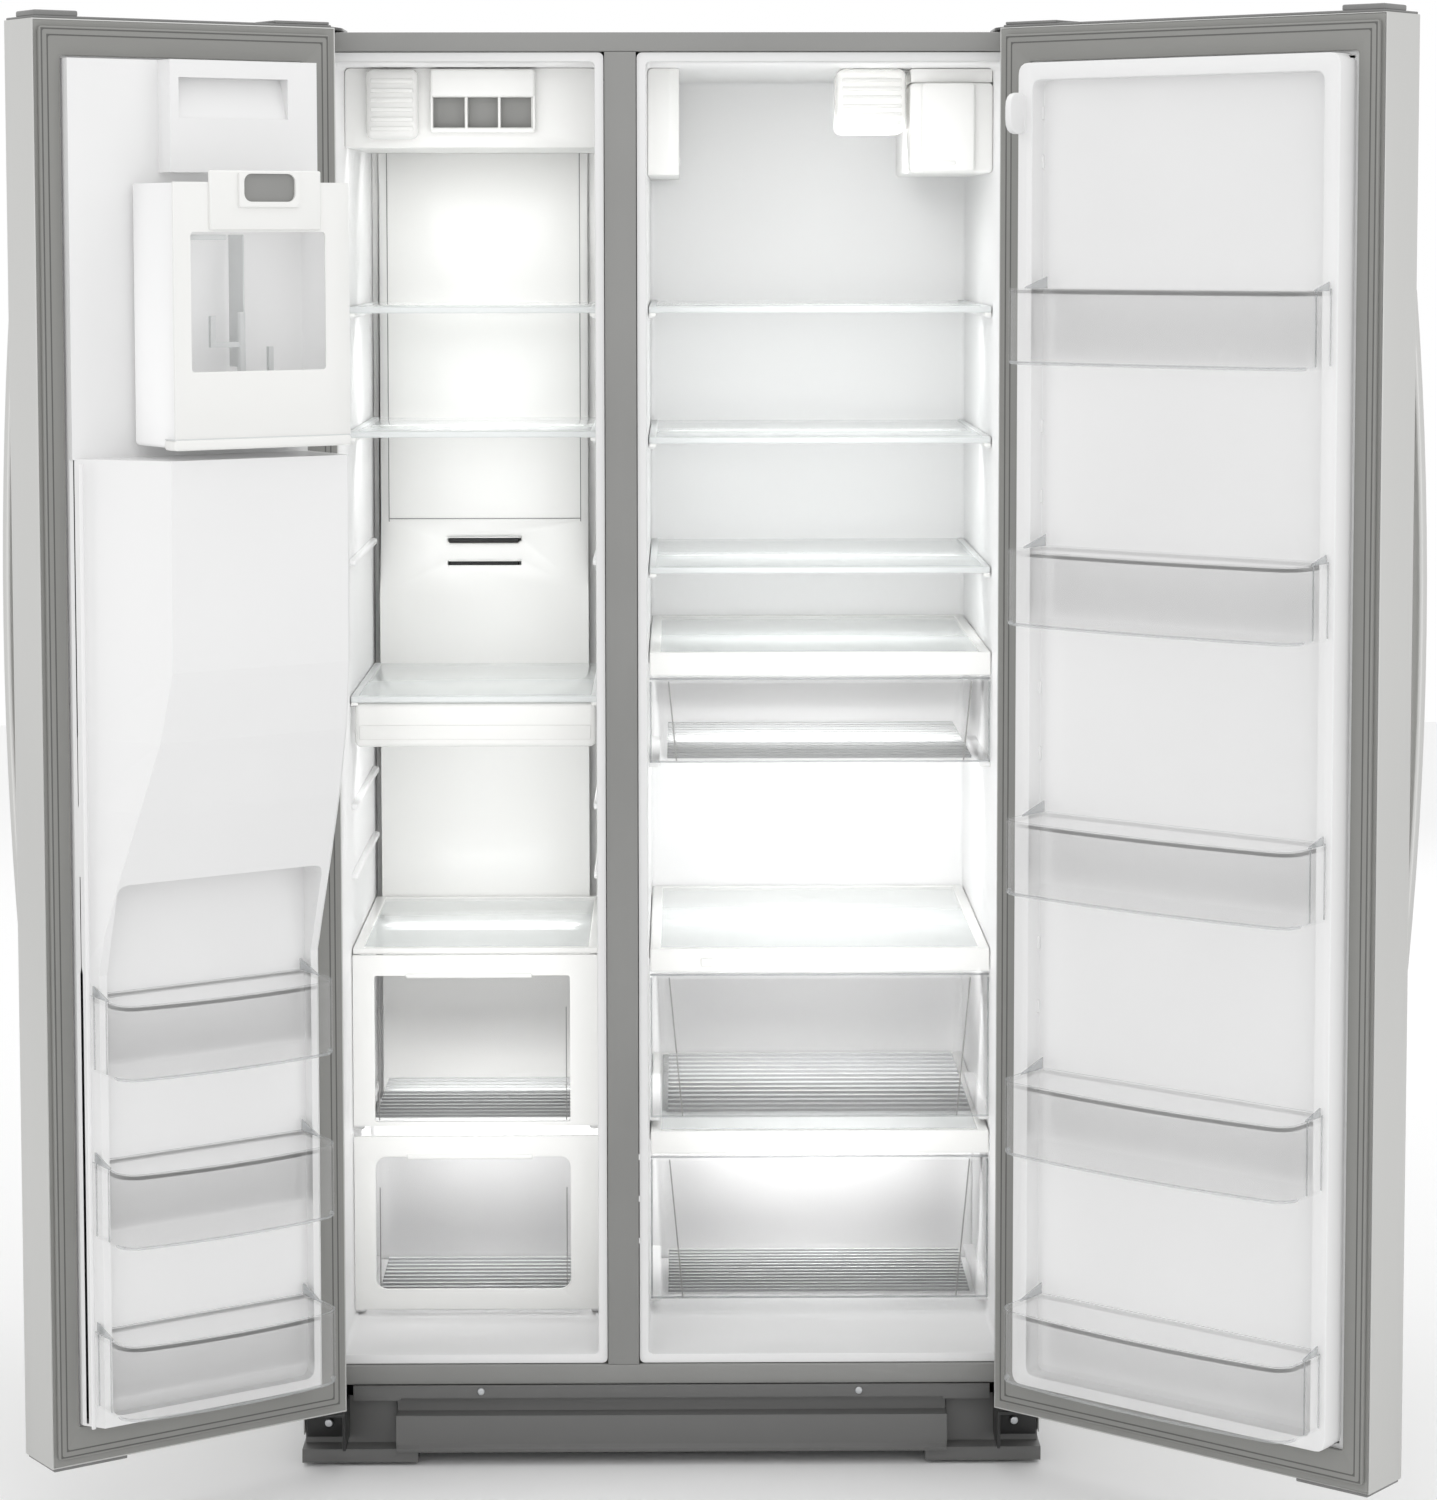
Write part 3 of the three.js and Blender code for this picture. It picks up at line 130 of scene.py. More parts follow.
def soft_panel(name, place, target, size, power):
    light = bpy.data.lights.new(name, "AREA")
    light.shape = "RECTANGLE"
    light.size, light.size_y = size
    light.energy = power
    panel = bpy.data.objects.new(name, light)
    panel.location = place
    panel.rotation_euler = (Vector(target) - Vector(place)).to_track_quat("-Z", "Y").to_euler()
    bpy.context.scene.collection.objects.link(panel)


soft_panel("front_panel", (0.2, -4.4, 2.6), (0, 0, 0.95), (3.6, 2.4), 12)
soft_panel("left_panel", (-3.2, -2.2, 1.5), (-0.6, -0.2, 0.9), (1.4, 2.4), 5)
soft_panel("right_panel", (3.2, -2.2, 1.5), (0.6, -0.2, 0.9), (1.4, 2.4), 5)
soft_panel("top_panel", (0, 0.1, 3.6), (0, 0.1, 0), (3.0, 2.4), 12)
soft_panel("rear_panel", (0.6, 4.2, 2.4), (0, 0.6, 0.9), (3.0, 2.4), 18)
for side, middle, width, power in (("freezer", -247, 0.26, 0.8), ("fridge", 188, 0.38, 1.3)):
    soft_panel(side + "_glow", mm(middle, 40, 1000), mm(middle, 600, 1000), (width, 1.5), power)
soft_panel("fridge_lamp", mm(252, 250, 1632), mm(230, 520, 1300), (0.06, 0.08), 0.5)
soft_panel("freezer_lamp", mm(-344, 190, 1628), mm(-300, 420, 1300), (0.05, 0.03), 0.35)
soft_panel("rear_lamp", mm(-247, 400, 1612), mm(-247, 520, 1480), (0.26, 0.12), 0.35)

# Each strip leans back and down by 45 degrees.
for name, middle, width, y, z, power in (
        ("freezer_strip_1", -247, 0.27, 300, 1405, 0.28), ("freezer_strip_2", -247, 0.27, 300, 1250, 0.3),
        ("freezer_strip_3", -247, 0.27, 260, 850, 0.22), ("freezer_strip_4", -247, 0.25, 300, 586, 0.5),
        ("freezer_strip_5", -247, 0.25, 290, 350, 0.55), ("fridge_strip_1", 188, 0.38, 320, 1405, 0.32),
        ("fridge_strip_2", 188, 0.38, 320, 1240, 0.32), ("fridge_strip_3", 188, 0.38, 320, 1075, 0.25),
        ("fridge_strip_4", 188, 0.36, 320, 945, 0.5), ("fridge_strip_5", 188, 0.38, 320, 835, 0.5),
        ("fridge_strip_6", 188, 0.36, 320, 568, 0.95), ("fridge_strip_7", 188, 0.36, 320, 332, 0.7)):
    soft_panel(name, mm(middle, y, z), mm(middle, y + 140, z - 140), (width, 0.12), power)

world = bpy.data.worlds.new("studio_surround")
world.use_nodes = True
world.node_tree.nodes["Background"].inputs["Color"].default_value = srgb("#ffffff")
world.node_tree.nodes["Background"].inputs["Strength"].default_value = 1.0
bpy.context.scene.world = world
bpy.context.scene.view_settings.view_transform = "Standard"


# The cabinet wrapper, back and base pan are folded from coated steel sheet. The
# coating is a gray baked enamel with a fine leather-like stipple, about 1 mm.
def stipple(material, shader, size_mm, depth, detail=3.0):
    """A fine bump of rounded grains, size_mm apart."""
    place = link_node(material, "ShaderNodeTexCoord")
    grains = link_node(material, "ShaderNodeTexNoise",
                       {"Scale": 1000 / size_mm, "Detail": detail, "Roughness": 0.55},
                       Vector=place.outputs["Object"])
    bump = link_node(material, "ShaderNodeBump", {"Strength": depth, "Distance": 0.0004},
                     Height=grains.outputs["Fac"])
    material.node_tree.links.new(bump.outputs["Normal"], shader.inputs["Normal"])


def vary_colour(material, shader, low, high, size_mm):
    """Slow, faint shade changes across a surface, as moulding and handling leave."""
    place = link_node(material, "ShaderNodeTexCoord")
    clouds = link_node(material, "ShaderNodeTexNoise", {"Scale": 1000 / size_mm, "Detail": 2.0},
                       Vector=place.outputs["Object"])
    shades = link_node(material, "ShaderNodeValToRGB", Fac=clouds.outputs["Fac"])
    shades.color_ramp.elements[0].position = 0.3
    shades.color_ramp.elements[0].color = srgb(low)
    shades.color_ramp.elements[1].position = 0.7
    shades.color_ramp.elements[1].color = srgb(high)
    material.node_tree.links.new(shades.outputs["Color"], shader.inputs["Base Color"])


enamel, enamel_shader = plain_material("stippled_gray_enamel", "#a3a3a0", 0.42, Coat_Weight=0.15)
stipple(enamel, enamel_shader, 1.6, 0.25)
vary_colour(enamel, enamel_shader, "#a0a09d", "#a8a8a5", 240)
galvanised, galvanised_shader = plain_material("galvanised_sheet", "#a9adae", 0.42, 0.85)
vary_colour(galvanised, galvanised_shader, "#a4a6a7", "#b1b3b3", 9)


def coat(node, material):
    """A frame node whose shape is right keeps its mesh and takes a better finish."""
    mesh = frame["nodes"][node].data
    mesh.materials.clear()
    mesh.materials.append(material)


coat("cabinet_wrapper", enamel)
coat("back_panel", galvanised)
coat("base_pan", galvanised)


# The face frame and the centre mullion close the front of the cabinet. They are
# folded steel in warm gray enamel; the folds have a radius of about 1.5 mm.
def nothing_selected():
    if bpy.context.object and bpy.context.object.mode != "OBJECT":
        bpy.ops.object.mode_set(mode="OBJECT")
    bpy.ops.object.select_all(action="DESELECT")


def apply_modifiers(piece):
    nothing_selected()
    bpy.context.view_layer.objects.active = piece
    piece.select_set(True)
    for modifier in list(piece.modifiers):
        bpy.ops.object.modifier_apply(modifier=modifier.name)


def round_edges(piece, radius_mm, segments=2, angle=30):
    bevel = piece.modifiers.new("fold", "BEVEL")
    bevel.width = radius_mm / 1000
    bevel.segments = segments
    bevel.limit_method = "ANGLE"
    bevel.angle_limit = math.radians(angle)
    bevel.use_clamp_overlap = True
    bevel.harden_normals = False
    apply_modifiers(piece)
    bpy.ops.object.shade_smooth_by_angle(angle=math.radians(35))


def finished_copy(node, name, radius_mm, material, body, segments=2):
    """A copy of a frame node, its loose triangles merged and its edges rounded over."""
    nothing_selected()
    piece = frame["nodes"][node].copy()
    piece.data = piece.data.copy()
    piece.parent = None
    piece.matrix_world = Matrix.Identity(4)
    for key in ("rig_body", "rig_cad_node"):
        if key in piece:
            del piece[key]
    piece.name = name
    bpy.context.scene.collection.objects.link(piece)
    bpy.context.view_layer.objects.active = piece
    piece.select_set(True)
    bpy.ops.object.mode_set(mode="EDIT")
    bpy.ops.mesh.select_all(action="SELECT")
    bpy.ops.mesh.remove_doubles(threshold=0.00002)
    if radius_mm:
        bpy.ops.mesh.dissolve_limited(angle_limit=math.radians(1))
    bpy.ops.object.mode_set(mode="OBJECT")
    if radius_mm:
        round_edges(piece, radius_mm, segments)
    finish_piece(piece, material, body)
    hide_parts(node)


def finish_piece(piece, material, body):
    piece.data.materials.clear()
    piece.data.materials.append(material)
    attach(piece, body)


frame_gray, frame_gray_shader = plain_material("satin_gray_enamel", "#898987", 0.4, Coat_Weight=0.2)
stipple(frame_gray, frame_gray_shader, 0.9, 0.12)
vary_colour(frame_gray, frame_gray_shader, "#858583", "#8e8e8c", 300)


def make_box(name, x, y, z):
    """A cube stretched over these ranges, in millimetres from the cabinet's middle."""
    nothing_selected()
    low, high = mm(x[0], y[0], z[0]), mm(x[1], y[1], z[1])
    bpy.ops.mesh.primitive_cube_add(size=1, location=(low + high) / 2, scale=high - low)
    bpy.ops.object.transform_apply(location=True, rotation=True, scale=True)
    bpy.context.object.name = name
    return bpy.context.object


def edit(piece, kind="FACE"):
    """Opens a piece for editing with nothing picked, and gives its mesh."""
    nothing_selected()
    bpy.context.view_layer.objects.active = piece
    piece.select_set(True)
    bpy.ops.object.mode_set(mode="EDIT")
    bpy.ops.mesh.select_mode(type=kind)
    bpy.ops.mesh.select_all(action="DESELECT")
    return bmesh.from_edit_mesh(piece.data)


def pick_faces(piece, normal):
    """Selects the faces that look along this direction."""
    shape = edit(piece)
    for face in shape.faces:
        face.select_set(face.normal.dot(Vector(normal)) > 0.9)
    bmesh.update_edit_mesh(piece.data)


def give_wall(piece, thickness_mm, offset=-1):
    wall = piece.modifiers.new("wall", "SOLIDIFY")
    wall.thickness = thickness_mm / 1000
    wall.offset = offset
    wall.use_even_offset = True
    apply_modifiers(piece)


def join_pieces(name, pieces):
    nothing_selected()
    for piece in pieces:
        piece.select_set(True)
    bpy.context.view_layer.objects.active = pieces[0]
    bpy.ops.object.join()
    pieces[0].name = name
    return pieces[0]


def place_of(node):
    """A frame node's ranges in millimetres from the cabinet's middle, face and floor."""
    low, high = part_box(node)
    return (((low.x - MIDDLE) * 1000, (high.x - MIDDLE) * 1000),
            ((low.y - FACE) * 1000, (high.y - FACE) * 1000), (low.z * 1000, high.z * 1000))


def flat_ring(name, outer, hole, y, corner, radius=1.0):
    """A flat frame: a plate facing forwards with a round-cornered window."""
    nothing_selected()
    low, high = mm(outer[0], y[0], outer[2]), mm(outer[1], y[0], outer[3])
    bpy.ops.mesh.primitive_plane_add(size=1, location=(low + high) / 2, rotation=(math.radians(90), 0, 0))
    ring = bpy.context.object
    ring.name = name
    ring.scale = (high.x - low.x, high.z - low.z, 1)
    bpy.ops.object.transform_apply(location=True, rotation=True, scale=True)
    window_low, window_high = mm(hole[0], y[0], hole[2]), mm(hole[1], y[0], hole[3])
    for point, direction in ((window_low, (1, 0, 0)), (window_high, (1, 0, 0)),
                             (window_low, (0, 0, 1)), (window_high, (0, 0, 1))):
        edit(ring)
        bpy.ops.mesh.select_all(action="SELECT")
        bpy.ops.mesh.bisect(plane_co=point, plane_no=direction)
    shape = edit(ring)
    centre = (window_low + window_high) / 2
    for face in shape.faces:
        face.select_set((face.calc_center_median() - centre).length < 0.001)
    bmesh.update_edit_mesh(ring.data)
    bpy.ops.mesh.delete(type="FACE")
    if corner:
        shape = edit(ring, "VERT")
        inside = 0.0001
        for vert in shape.verts:
            vert.select_set(window_low.x - inside < vert.co.x < window_high.x + inside
                            and window_low.z - inside < vert.co.z < window_high.z + inside)
        bmesh.update_edit_mesh(ring.data)
        bpy.ops.mesh.bevel(offset=corner / 1000, segments=5, affect="VERTICES")
    bpy.ops.object.mode_set(mode="OBJECT")
    give_wall(ring, y[1] - y[0])
    if radius:
        round_edges(ring, radius, 2, 40)
    return ring


# What the face frame leaves open: left, right, foot and head.
OPENING = (-417, 417, 123.4, 1733)
frame_x, frame_y, frame_z = place_of("face_frame")
folded_frame = flat_ring("folded_face_frame", (*frame_x, *frame_z), OPENING, frame_y, 0, 1.5)
finish_piece(folded_frame, frame_gray, "cabinet")
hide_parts("face_frame")
finished_copy("center_mullion", "folded_mullion", 1.5, frame_gray, "cabinet")


# The compartment liners are vacuum-formed from white polystyrene sheet: bright,
# a soft gloss, the faint waves of a formed sheet, 6 mm radii where walls meet,
# and a flange that laps behind the face frame.
white, white_shader = plain_material("vacuum_formed_white_polystyrene", "#e8e8e8", 0.38, Coat_Weight=0.08)
stipple(white, white_shader, 30, 0.04, 2.0)
vary_colour(white, white_shader, "#e6e6e6", "#ebebeb", 420)
moulded, moulded_shader = plain_material("moulded_white_polystyrene", "#ececea", 0.3, Coat_Weight=0.12)
stipple(moulded, moulded_shader, 1.2, 0.03)


LIP_FRONT = 4.5
FLANGE_LAP = 11
STEP_FRONT = 440
STEP_TOP = 195


def liner_tub(node, name, x, z, ledges):
    """A tub open to the front, with a step over the machine space and ledges inside."""
    depth = place_of(node)[1][1]
    tub = make_box(name, x, (LIP_FRONT, depth - 3), z)
    pick_faces(tub, (0, -1, 0))
    bpy.ops.mesh.delete(type="FACE")
    bpy.ops.object.mode_set(mode="OBJECT")
    round_edges(tub, 6, 4, 60)
    shape = edit(tub, "EDGE")
    for edge in shape.edges:
        edge.select_set(edge.is_boundary)
    bmesh.update_edit_mesh(tub.data)
    bpy.ops.mesh.extrude_region_move()
    middle = mm(sum(x) / 2, LIP_FRONT, sum(z) / 2)
    width = x[1] - x[0]
    height = z[1] - z[0]
    grow = ((width + 2 * FLANGE_LAP) / width, 1, (height + 2 * FLANGE_LAP) / height)
    bpy.ops.transform.resize(value=grow, center_override=middle)
    bpy.ops.mesh.select_all(action="SELECT")
    bpy.ops.mesh.normals_make_consistent(inside=True)
    bpy.ops.object.mode_set(mode="OBJECT")
    round_edges(tub, 2, 2, 60)
    give_wall(tub, 2)
    parts = [tub]
    step = make_box("step", (x[0] - 1, x[1] + 1), (STEP_FRONT, depth - 1), (z[0] - 1, z[0] + STEP_TOP))
    round_edges(step, 10, 4)
    parts.append(step)
    for top, front, back, reach in ledges:
        for low_x, high_x in ((x[0] - 1, x[0] + reach), (x[1] - reach, x[1] + 1)):
            ledge = make_box("ledge", (low_x, high_x), (front, back), (top - 8, top))
            round_edges(ledge, 2.5, 3)
            parts.append(ledge)
    tub = join_pieces(name, parts)
    bpy.ops.object.shade_smooth_by_angle(angle=math.radians(40))
    finish_piece(tub, white, "cabinet")
    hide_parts(node)


FREEZER_X = (-405, -90)
FRIDGE_X = (-28, 405)
ROOM_Z = (135.4, 1721)
# A ledge is its top, its front and back, and how far it stands out of the wall.
UNDER_SHELF = 6.5
UNDER_COVER = 8.5
UNDER_DRAWER = 0.5
FREEZER_LEDGE = (182, 535, 8)
FRIDGE_LEDGE = (182, 615, 8)
SPARE_LEDGE = (186, 530, 8)
DRAWER_LEDGE = (182, 425, 14)
shelf_tops = {node: place_of(node)[2][1] for node in frame["nodes"]
              if "shelf" in node or "cover" in node}
freezer_ledges = [(shelf_tops[f"freezer_shelf_{i}"] - UNDER_SHELF, *FREEZER_LEDGE) for i in (1, 2, 3)]
freezer_ledges += [(z, *SPARE_LEDGE) for z in (1105, 794, 705)]
freezer_ledges.append((shelf_tops["freezer_drawer_cover"] - UNDER_COVER, *FREEZER_LEDGE))
freezer_ledges += [(place_of(f"freezer_drawer_{level}")[2][0] - UNDER_DRAWER, *DRAWER_LEDGE)
                   for level in ("upper", "lower")]
liner_tub("freezer_liner", "formed_freezer_liner", FREEZER_X, ROOM_Z, freezer_ledges)
fridge_ledges = [(shelf_tops[f"fridge_shelf_{i}"] - UNDER_SHELF, *FRIDGE_LEDGE) for i in (1, 2, 3)]
fridge_ledges += [(shelf_tops[cover] - UNDER_COVER, *FRIDGE_LEDGE)
                  for cover in ("deli_cover", "crisper_cover_upper", "crisper_cover_lower")]
fridge_ledges += [(place_of(drawer)[2][0] - UNDER_DRAWER, *DRAWER_LEDGE)
                  for drawer in ("deli_drawer", "crisper_upper", "crisper_lower")]
liner_tub("fridge_liner", "formed_fridge_liner", FRIDGE_X, ROOM_Z, fridge_ledges)


# The rear air cover of the freezer is a moulded panel in front of the evaporator:
# raised over its middle, with seams down its sides and across, and two return slots.
finished_copy("evaporator_cover", "rear_air_cover", 1.2, moulded, "cabinet")
# The return slots are dark blocks, painted as the shadow inside their openings.
slot_shade_black, slot_shade_black_shader = plain_material("painted_slot_shadow_black", "#2b2b2b", 0.7)
stipple(slot_shade_black, slot_shade_black_shader, 1.0, 0.1)
shadow_gray, shadow_gray_shader = plain_material("shadowed_gray_polystyrene", "#8f8f8d", 0.6)
stipple(shadow_gray, shadow_gray_shader, 1.2, 0.08)
cover_y = place_of("evaporator_cover")[1][0]


def trim(name, x, y, z, material, body, radius=1.0, segments=2):
    """A moulded block with its edges rounded."""
    piece = make_box(name, x, y, z)
    round_edges(piece, radius, segments)
    finish_piece(piece, material, body)


for level, z in (("upper", 1095), ("lower", 1063)):
    trim(f"return_slot_{level}", (-303, -207), (cover_y + 14, cover_y + 21), (z, z + 7),
         slot_shade_black, "cabinet", 2.5, 3)
    trim(f"return_slot_lip_{level}", (-306, -204), (cover_y + 12, cover_y + 15), (z + 7, z + 9),
         moulded, "cabinet", 0.8)
for name, x in (("left", -385), ("right", -124)):
    trim(f"rear_cover_seam_{name}", (x, x + 1.2), (cover_y + 26, cover_y + 27.2), (1030, 1624),
         shadow_gray, "cabinet", 0.3)
for name, x in (("left", (-404.6, -395)), ("right", (-113, -90.4))):
    trim(f"rear_cover_return_{name}", x, (cover_y + 33, cover_y + 36), (332, 1700), moulded,
         "cabinet", 0.8)
trim("rear_cover_cross_seam", (-385, -123), (cover_y + 26, cover_y + 27.2), (1127, 1128.2),
     shadow_gray, "cabinet", 0.3)


# The ice maker hides behind a moulded cover across the freezer's ceiling; its
# mouth is a shadowed opening with two dividers. Clear ribbed lenses cover the lamps:
# one beside it, one in the fresh-food ceiling and one lower in the freezer.
finished_copy("icemaker", "ice_maker_cover", 4, moulded, "cabinet")
trim("ice_maker_hood", (-297, -167), (150, 176), (1684, 1719), moulded, "cabinet", 4, 3)
trim("ice_maker_lip", (-297, -167), (154, 176), (1640, 1646.5), moulded, "cabinet", 2.5, 3)
for name, x in (("left", -297), ("inner_left", -254), ("inner_right", -213), ("right", -170)):
    trim(f"ice_maker_rib_{name}", (x, x + 3), (154, 178), (1644, 1687), moulded,
         "cabinet", 1)
trim("ice_maker_mouth", (-295, -169), (172, 177), (1646, 1685), shadow_gray, "cabinet", 1)
lens, lens_shader = plain_material("clear_ribbed_lamp_lens", "#f4f4f2", 0.2, Alpha=0.75)
stipple(lens, lens_shader, 3.0, 0.06)


def lamp_lens(name, x, y, z, ribs):
    parts = [make_box(name, x, y, z)]
    round_edges(parts[0], 9, 4)
    pitch = (z[1] - z[0] - 16) / ribs
    for i in range(ribs):
        rib = make_box("rib", (x[0] + 6, x[1] - 6), (y[0] - 2, y[0] + 2),
                       (z[0] + 10 + i * pitch, z[0] + 10 + (i + 0.45) * pitch))
        round_edges(rib, 1.2, 2)
        parts.append(rib)
    finish_piece(join_pieces(name, parts), lens, "cabinet")


lamp_lens("freezer_lamp_lens", (-377, -312), (148, 168), (1632, 1719), 6)
lamp_lens("fridge_lamp_lens", (210, 296), (180, 300), (1640, 1720), 6)
lamp_lens("shelf_lamp_lens", (-399, -95), (171, 186), (868, 924), 1)


# Fresh-food fittings: the cold-air diffuser on the left wall, the water filter's
# housing with its flip-down door, and the humidity knob. All moulded white.
finished_copy("air_diffuser", "cold_air_diffuser", 4, moulded, "cabinet")
finished_copy("filter_housing", "water_filter_housing", 3, moulded, "cabinet")
finished_copy("filter_cover", "water_filter_door", 2.5, moulded, "filter_cover", 3)
filter_x, filter_y, filter_z = place_of("filter_cover")
trim("filter_housing_bridge", (302, 404.4), (182, 500), (1702.4, 1720.4), moulded, "cabinet",
     2)
trim("filter_door_grip", (filter_x[0] + 24, filter_x[1] - 24), (filter_y[0] - 1.5, filter_y[0] + 1),
     (filter_z[0] + 8, filter_z[0] + 13), moulded, "filter_cover", 1)
diffuser_x, _, diffuser_z = place_of("air_diffuser")
for i in range(7):
    y = 210 + i * 52
    trim(f"diffuser_louvre_{i + 1}", (diffuser_x[1] - 1, diffuser_x[1] + 1.5), (y, y + 30),
         (diffuser_z[0] + 18, diffuser_z[0] + 22), moulded, "cabinet", 0.6)
finished_copy("humidity_slider", "humidity_knob", 1, moulded, "humidity_slider")


# Shelves are tempered glass with a faint green tint, held in a frosted front trim
# and two side rails that hook onto the liner's ledges.
glass, glass_shader = plain_material("tempered_shelf_glass", "#eaeeed", 0.06)
facing = link_node(glass, "ShaderNodeLayerWeight", {"Blend": 0.35})
see_through = link_node(glass, "ShaderNodeMapRange", {"To Min": 0.16, "To Max": 0.7},
                        Value=facing.outputs["Facing"])
glass.node_tree.links.new(see_through.outputs["Result"], glass_shader.inputs["Alpha"])
frosted, frosted_shader = plain_material("frosted_white_trim", "#e4e7e7", 0.35, Alpha=0.8)
stipple(frosted, frosted_shader, 2.0, 0.06)
rail_gray, rail_gray_shader = plain_material("light_gray_polystyrene", "#d6d8d8", 0.4)
stipple(rail_gray, rail_gray_shader, 1.2, 0.08)


def glass_shelf(node):
    x, y, z = place_of(node)
    pane = make_box(node + "_pane", (x[0] + 6, x[1] - 6), (y[0] + 6, y[1]), (z[1] - 4, z[1]))
    round_edges(pane, 1, 2)
    finish_piece(pane, glass, "cabinet")
    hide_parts(node)
    front = make_box(node + "_trim", x, (y[0], y[0] + 9), (z[0] - 1.5, z[1] + 0.8))
    round_edges(front, 2.5, 3)
    finish_piece(front, frosted, "cabinet")
    for side, x0, x1 in (("left", x[0], x[0] + 9), ("right", x[1] - 9, x[1])):
        trim(f"{node}_rail_{side}", (x0, x1), (y[0] + 8, y[1]), (z[0] - 0.2, z[1] + 0.6),
             rail_gray, "cabinet", 1)
        trim(f"{node}_hook_{side}", (x0, x1), (y[0] + 2, y[0] + 26), (z[0] - 6, z[0] - 0.4),
             moulded, "cabinet", 2)


for shelf in sorted(node for node in frame["nodes"] if "shelf" in node):
    glass_shelf(shelf)


# A cover lies over the freezer's drawers and over each fresh-food drawer: a glass
# pane in a white moulded frame. On the fresh-food side the frame's front is a deep
# white band.
def drawer_cover(node, band):
    x, y, z = place_of(node)
    pane = make_box(node + "_pane", (x[0] + 12, x[1] - 12), (y[0] + 14, y[1] - 10), (z[1] - 5, z[1] - 1))
    round_edges(pane, 1, 2)
    finish_piece(pane, glass, "cabinet")
    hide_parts(node)
    parts = []
    for x0, x1 in ((x[0], x[0] + 14), (x[1] - 14, x[1])):
        parts.append(make_box("rim", (x0, x1), (y[0] + 6, y[1]), (z[1] - 8, z[1])))
    parts.append(make_box("back", (x[0] + 10, x[1] - 10), (y[1] - 12, y[1]), (z[1] - 8, z[1])))
    parts.append(make_box("front", x, (y[0] + 1.5, y[0] + 15), (z[1] - 8, z[1] - 0.5)))
    if band:
        parts.append(make_box("band", x, (y[0], y[0] + 6), z))
    for part in parts:
        round_edges(part, 2, 3)
    finish_piece(join_pieces(node + "_frame", parts), moulded, "cabinet")


drawer_cover("freezer_drawer_cover", False)
for cover in ("deli_cover", "crisper_cover_upper", "crisper_cover_lower"):
    drawer_cover(cover, True)


# The fresh-food drawers are injection-moulded clear polystyrene: nearly invisible
# face on, with a ribbed floor. The gray at the rims, along the bends and on the
# ribs is painted shade, carried by darker copies of the clear material.
def clear_plastic(name, colour, least, most):
    """Clear plastic whose cover grows from least, face on, to most at a grazing look."""
    material, shader = plain_material(name, colour, 0.08)
    facing = link_node(material, "ShaderNodeLayerWeight", {"Blend": 0.4})
    through = link_node(material, "ShaderNodeMapRange", {"To Min": least, "To Max": most},
                        Value=facing.outputs["Facing"])
    material.node_tree.links.new(through.outputs["Result"], shader.inputs["Alpha"])
    return material


clear = clear_plastic("clear_polystyrene", "#ffffff", 0.012, 0.085)
# Painted edge shade: a grayer, more opaque copy of the clear material for rims, corners and bends.
painted_edge_shade = clear_plastic("clear_polystyrene_painted_edge_shade", "#bcbfc0", 0.35, 0.62)
# Painted rib shade: a grayer, more opaque copy of the clear material, for the shade the floor ribs' bends
# show.
painted_rib_shade = clear_plastic("clear_polystyrene_painted_rib_shade", "#e6e8e8", 0.4, 0.75)


def tapered_tub(name, x, y, z, taper, wall, corner):
    """An open box, narrower at its floor, with rounded corners."""
    tub = make_box(name, x, y, z)
    pick_faces(tub, (0, 0, 1))
    bpy.ops.mesh.delete(type="FACE")
    shape = edit(tub, "VERT")
    for vert in shape.verts:
        vert.select_set(vert.co.z < (z[0] + z[1]) / 2000)
    bmesh.update_edit_mesh(tub.data)
    middle = mm(sum(x) / 2, sum(y) / 2, z[0])
    shrink = ((x[1] - x[0] - 2 * taper) / (x[1] - x[0]), (y[1] - y[0] - 2 * taper) / (y[1] - y[0]), 1)
    bpy.ops.transform.resize(value=shrink, center_override=middle)
    bpy.ops.object.mode_set(mode="OBJECT")
    round_edges(tub, corner, 4, 50)
    give_wall(tub, wall)
    return tub


def floor_ribs(name, x, y, z, count):
    parts = []
    pitch = (y[1] - y[0]) / count
    for i in range(count):
        parts.append(make_box("rib", x, (y[0] + i * pitch, y[0] + (i + 0.35) * pitch), (z, z + 3.2)))
    return join_pieces(name, parts)


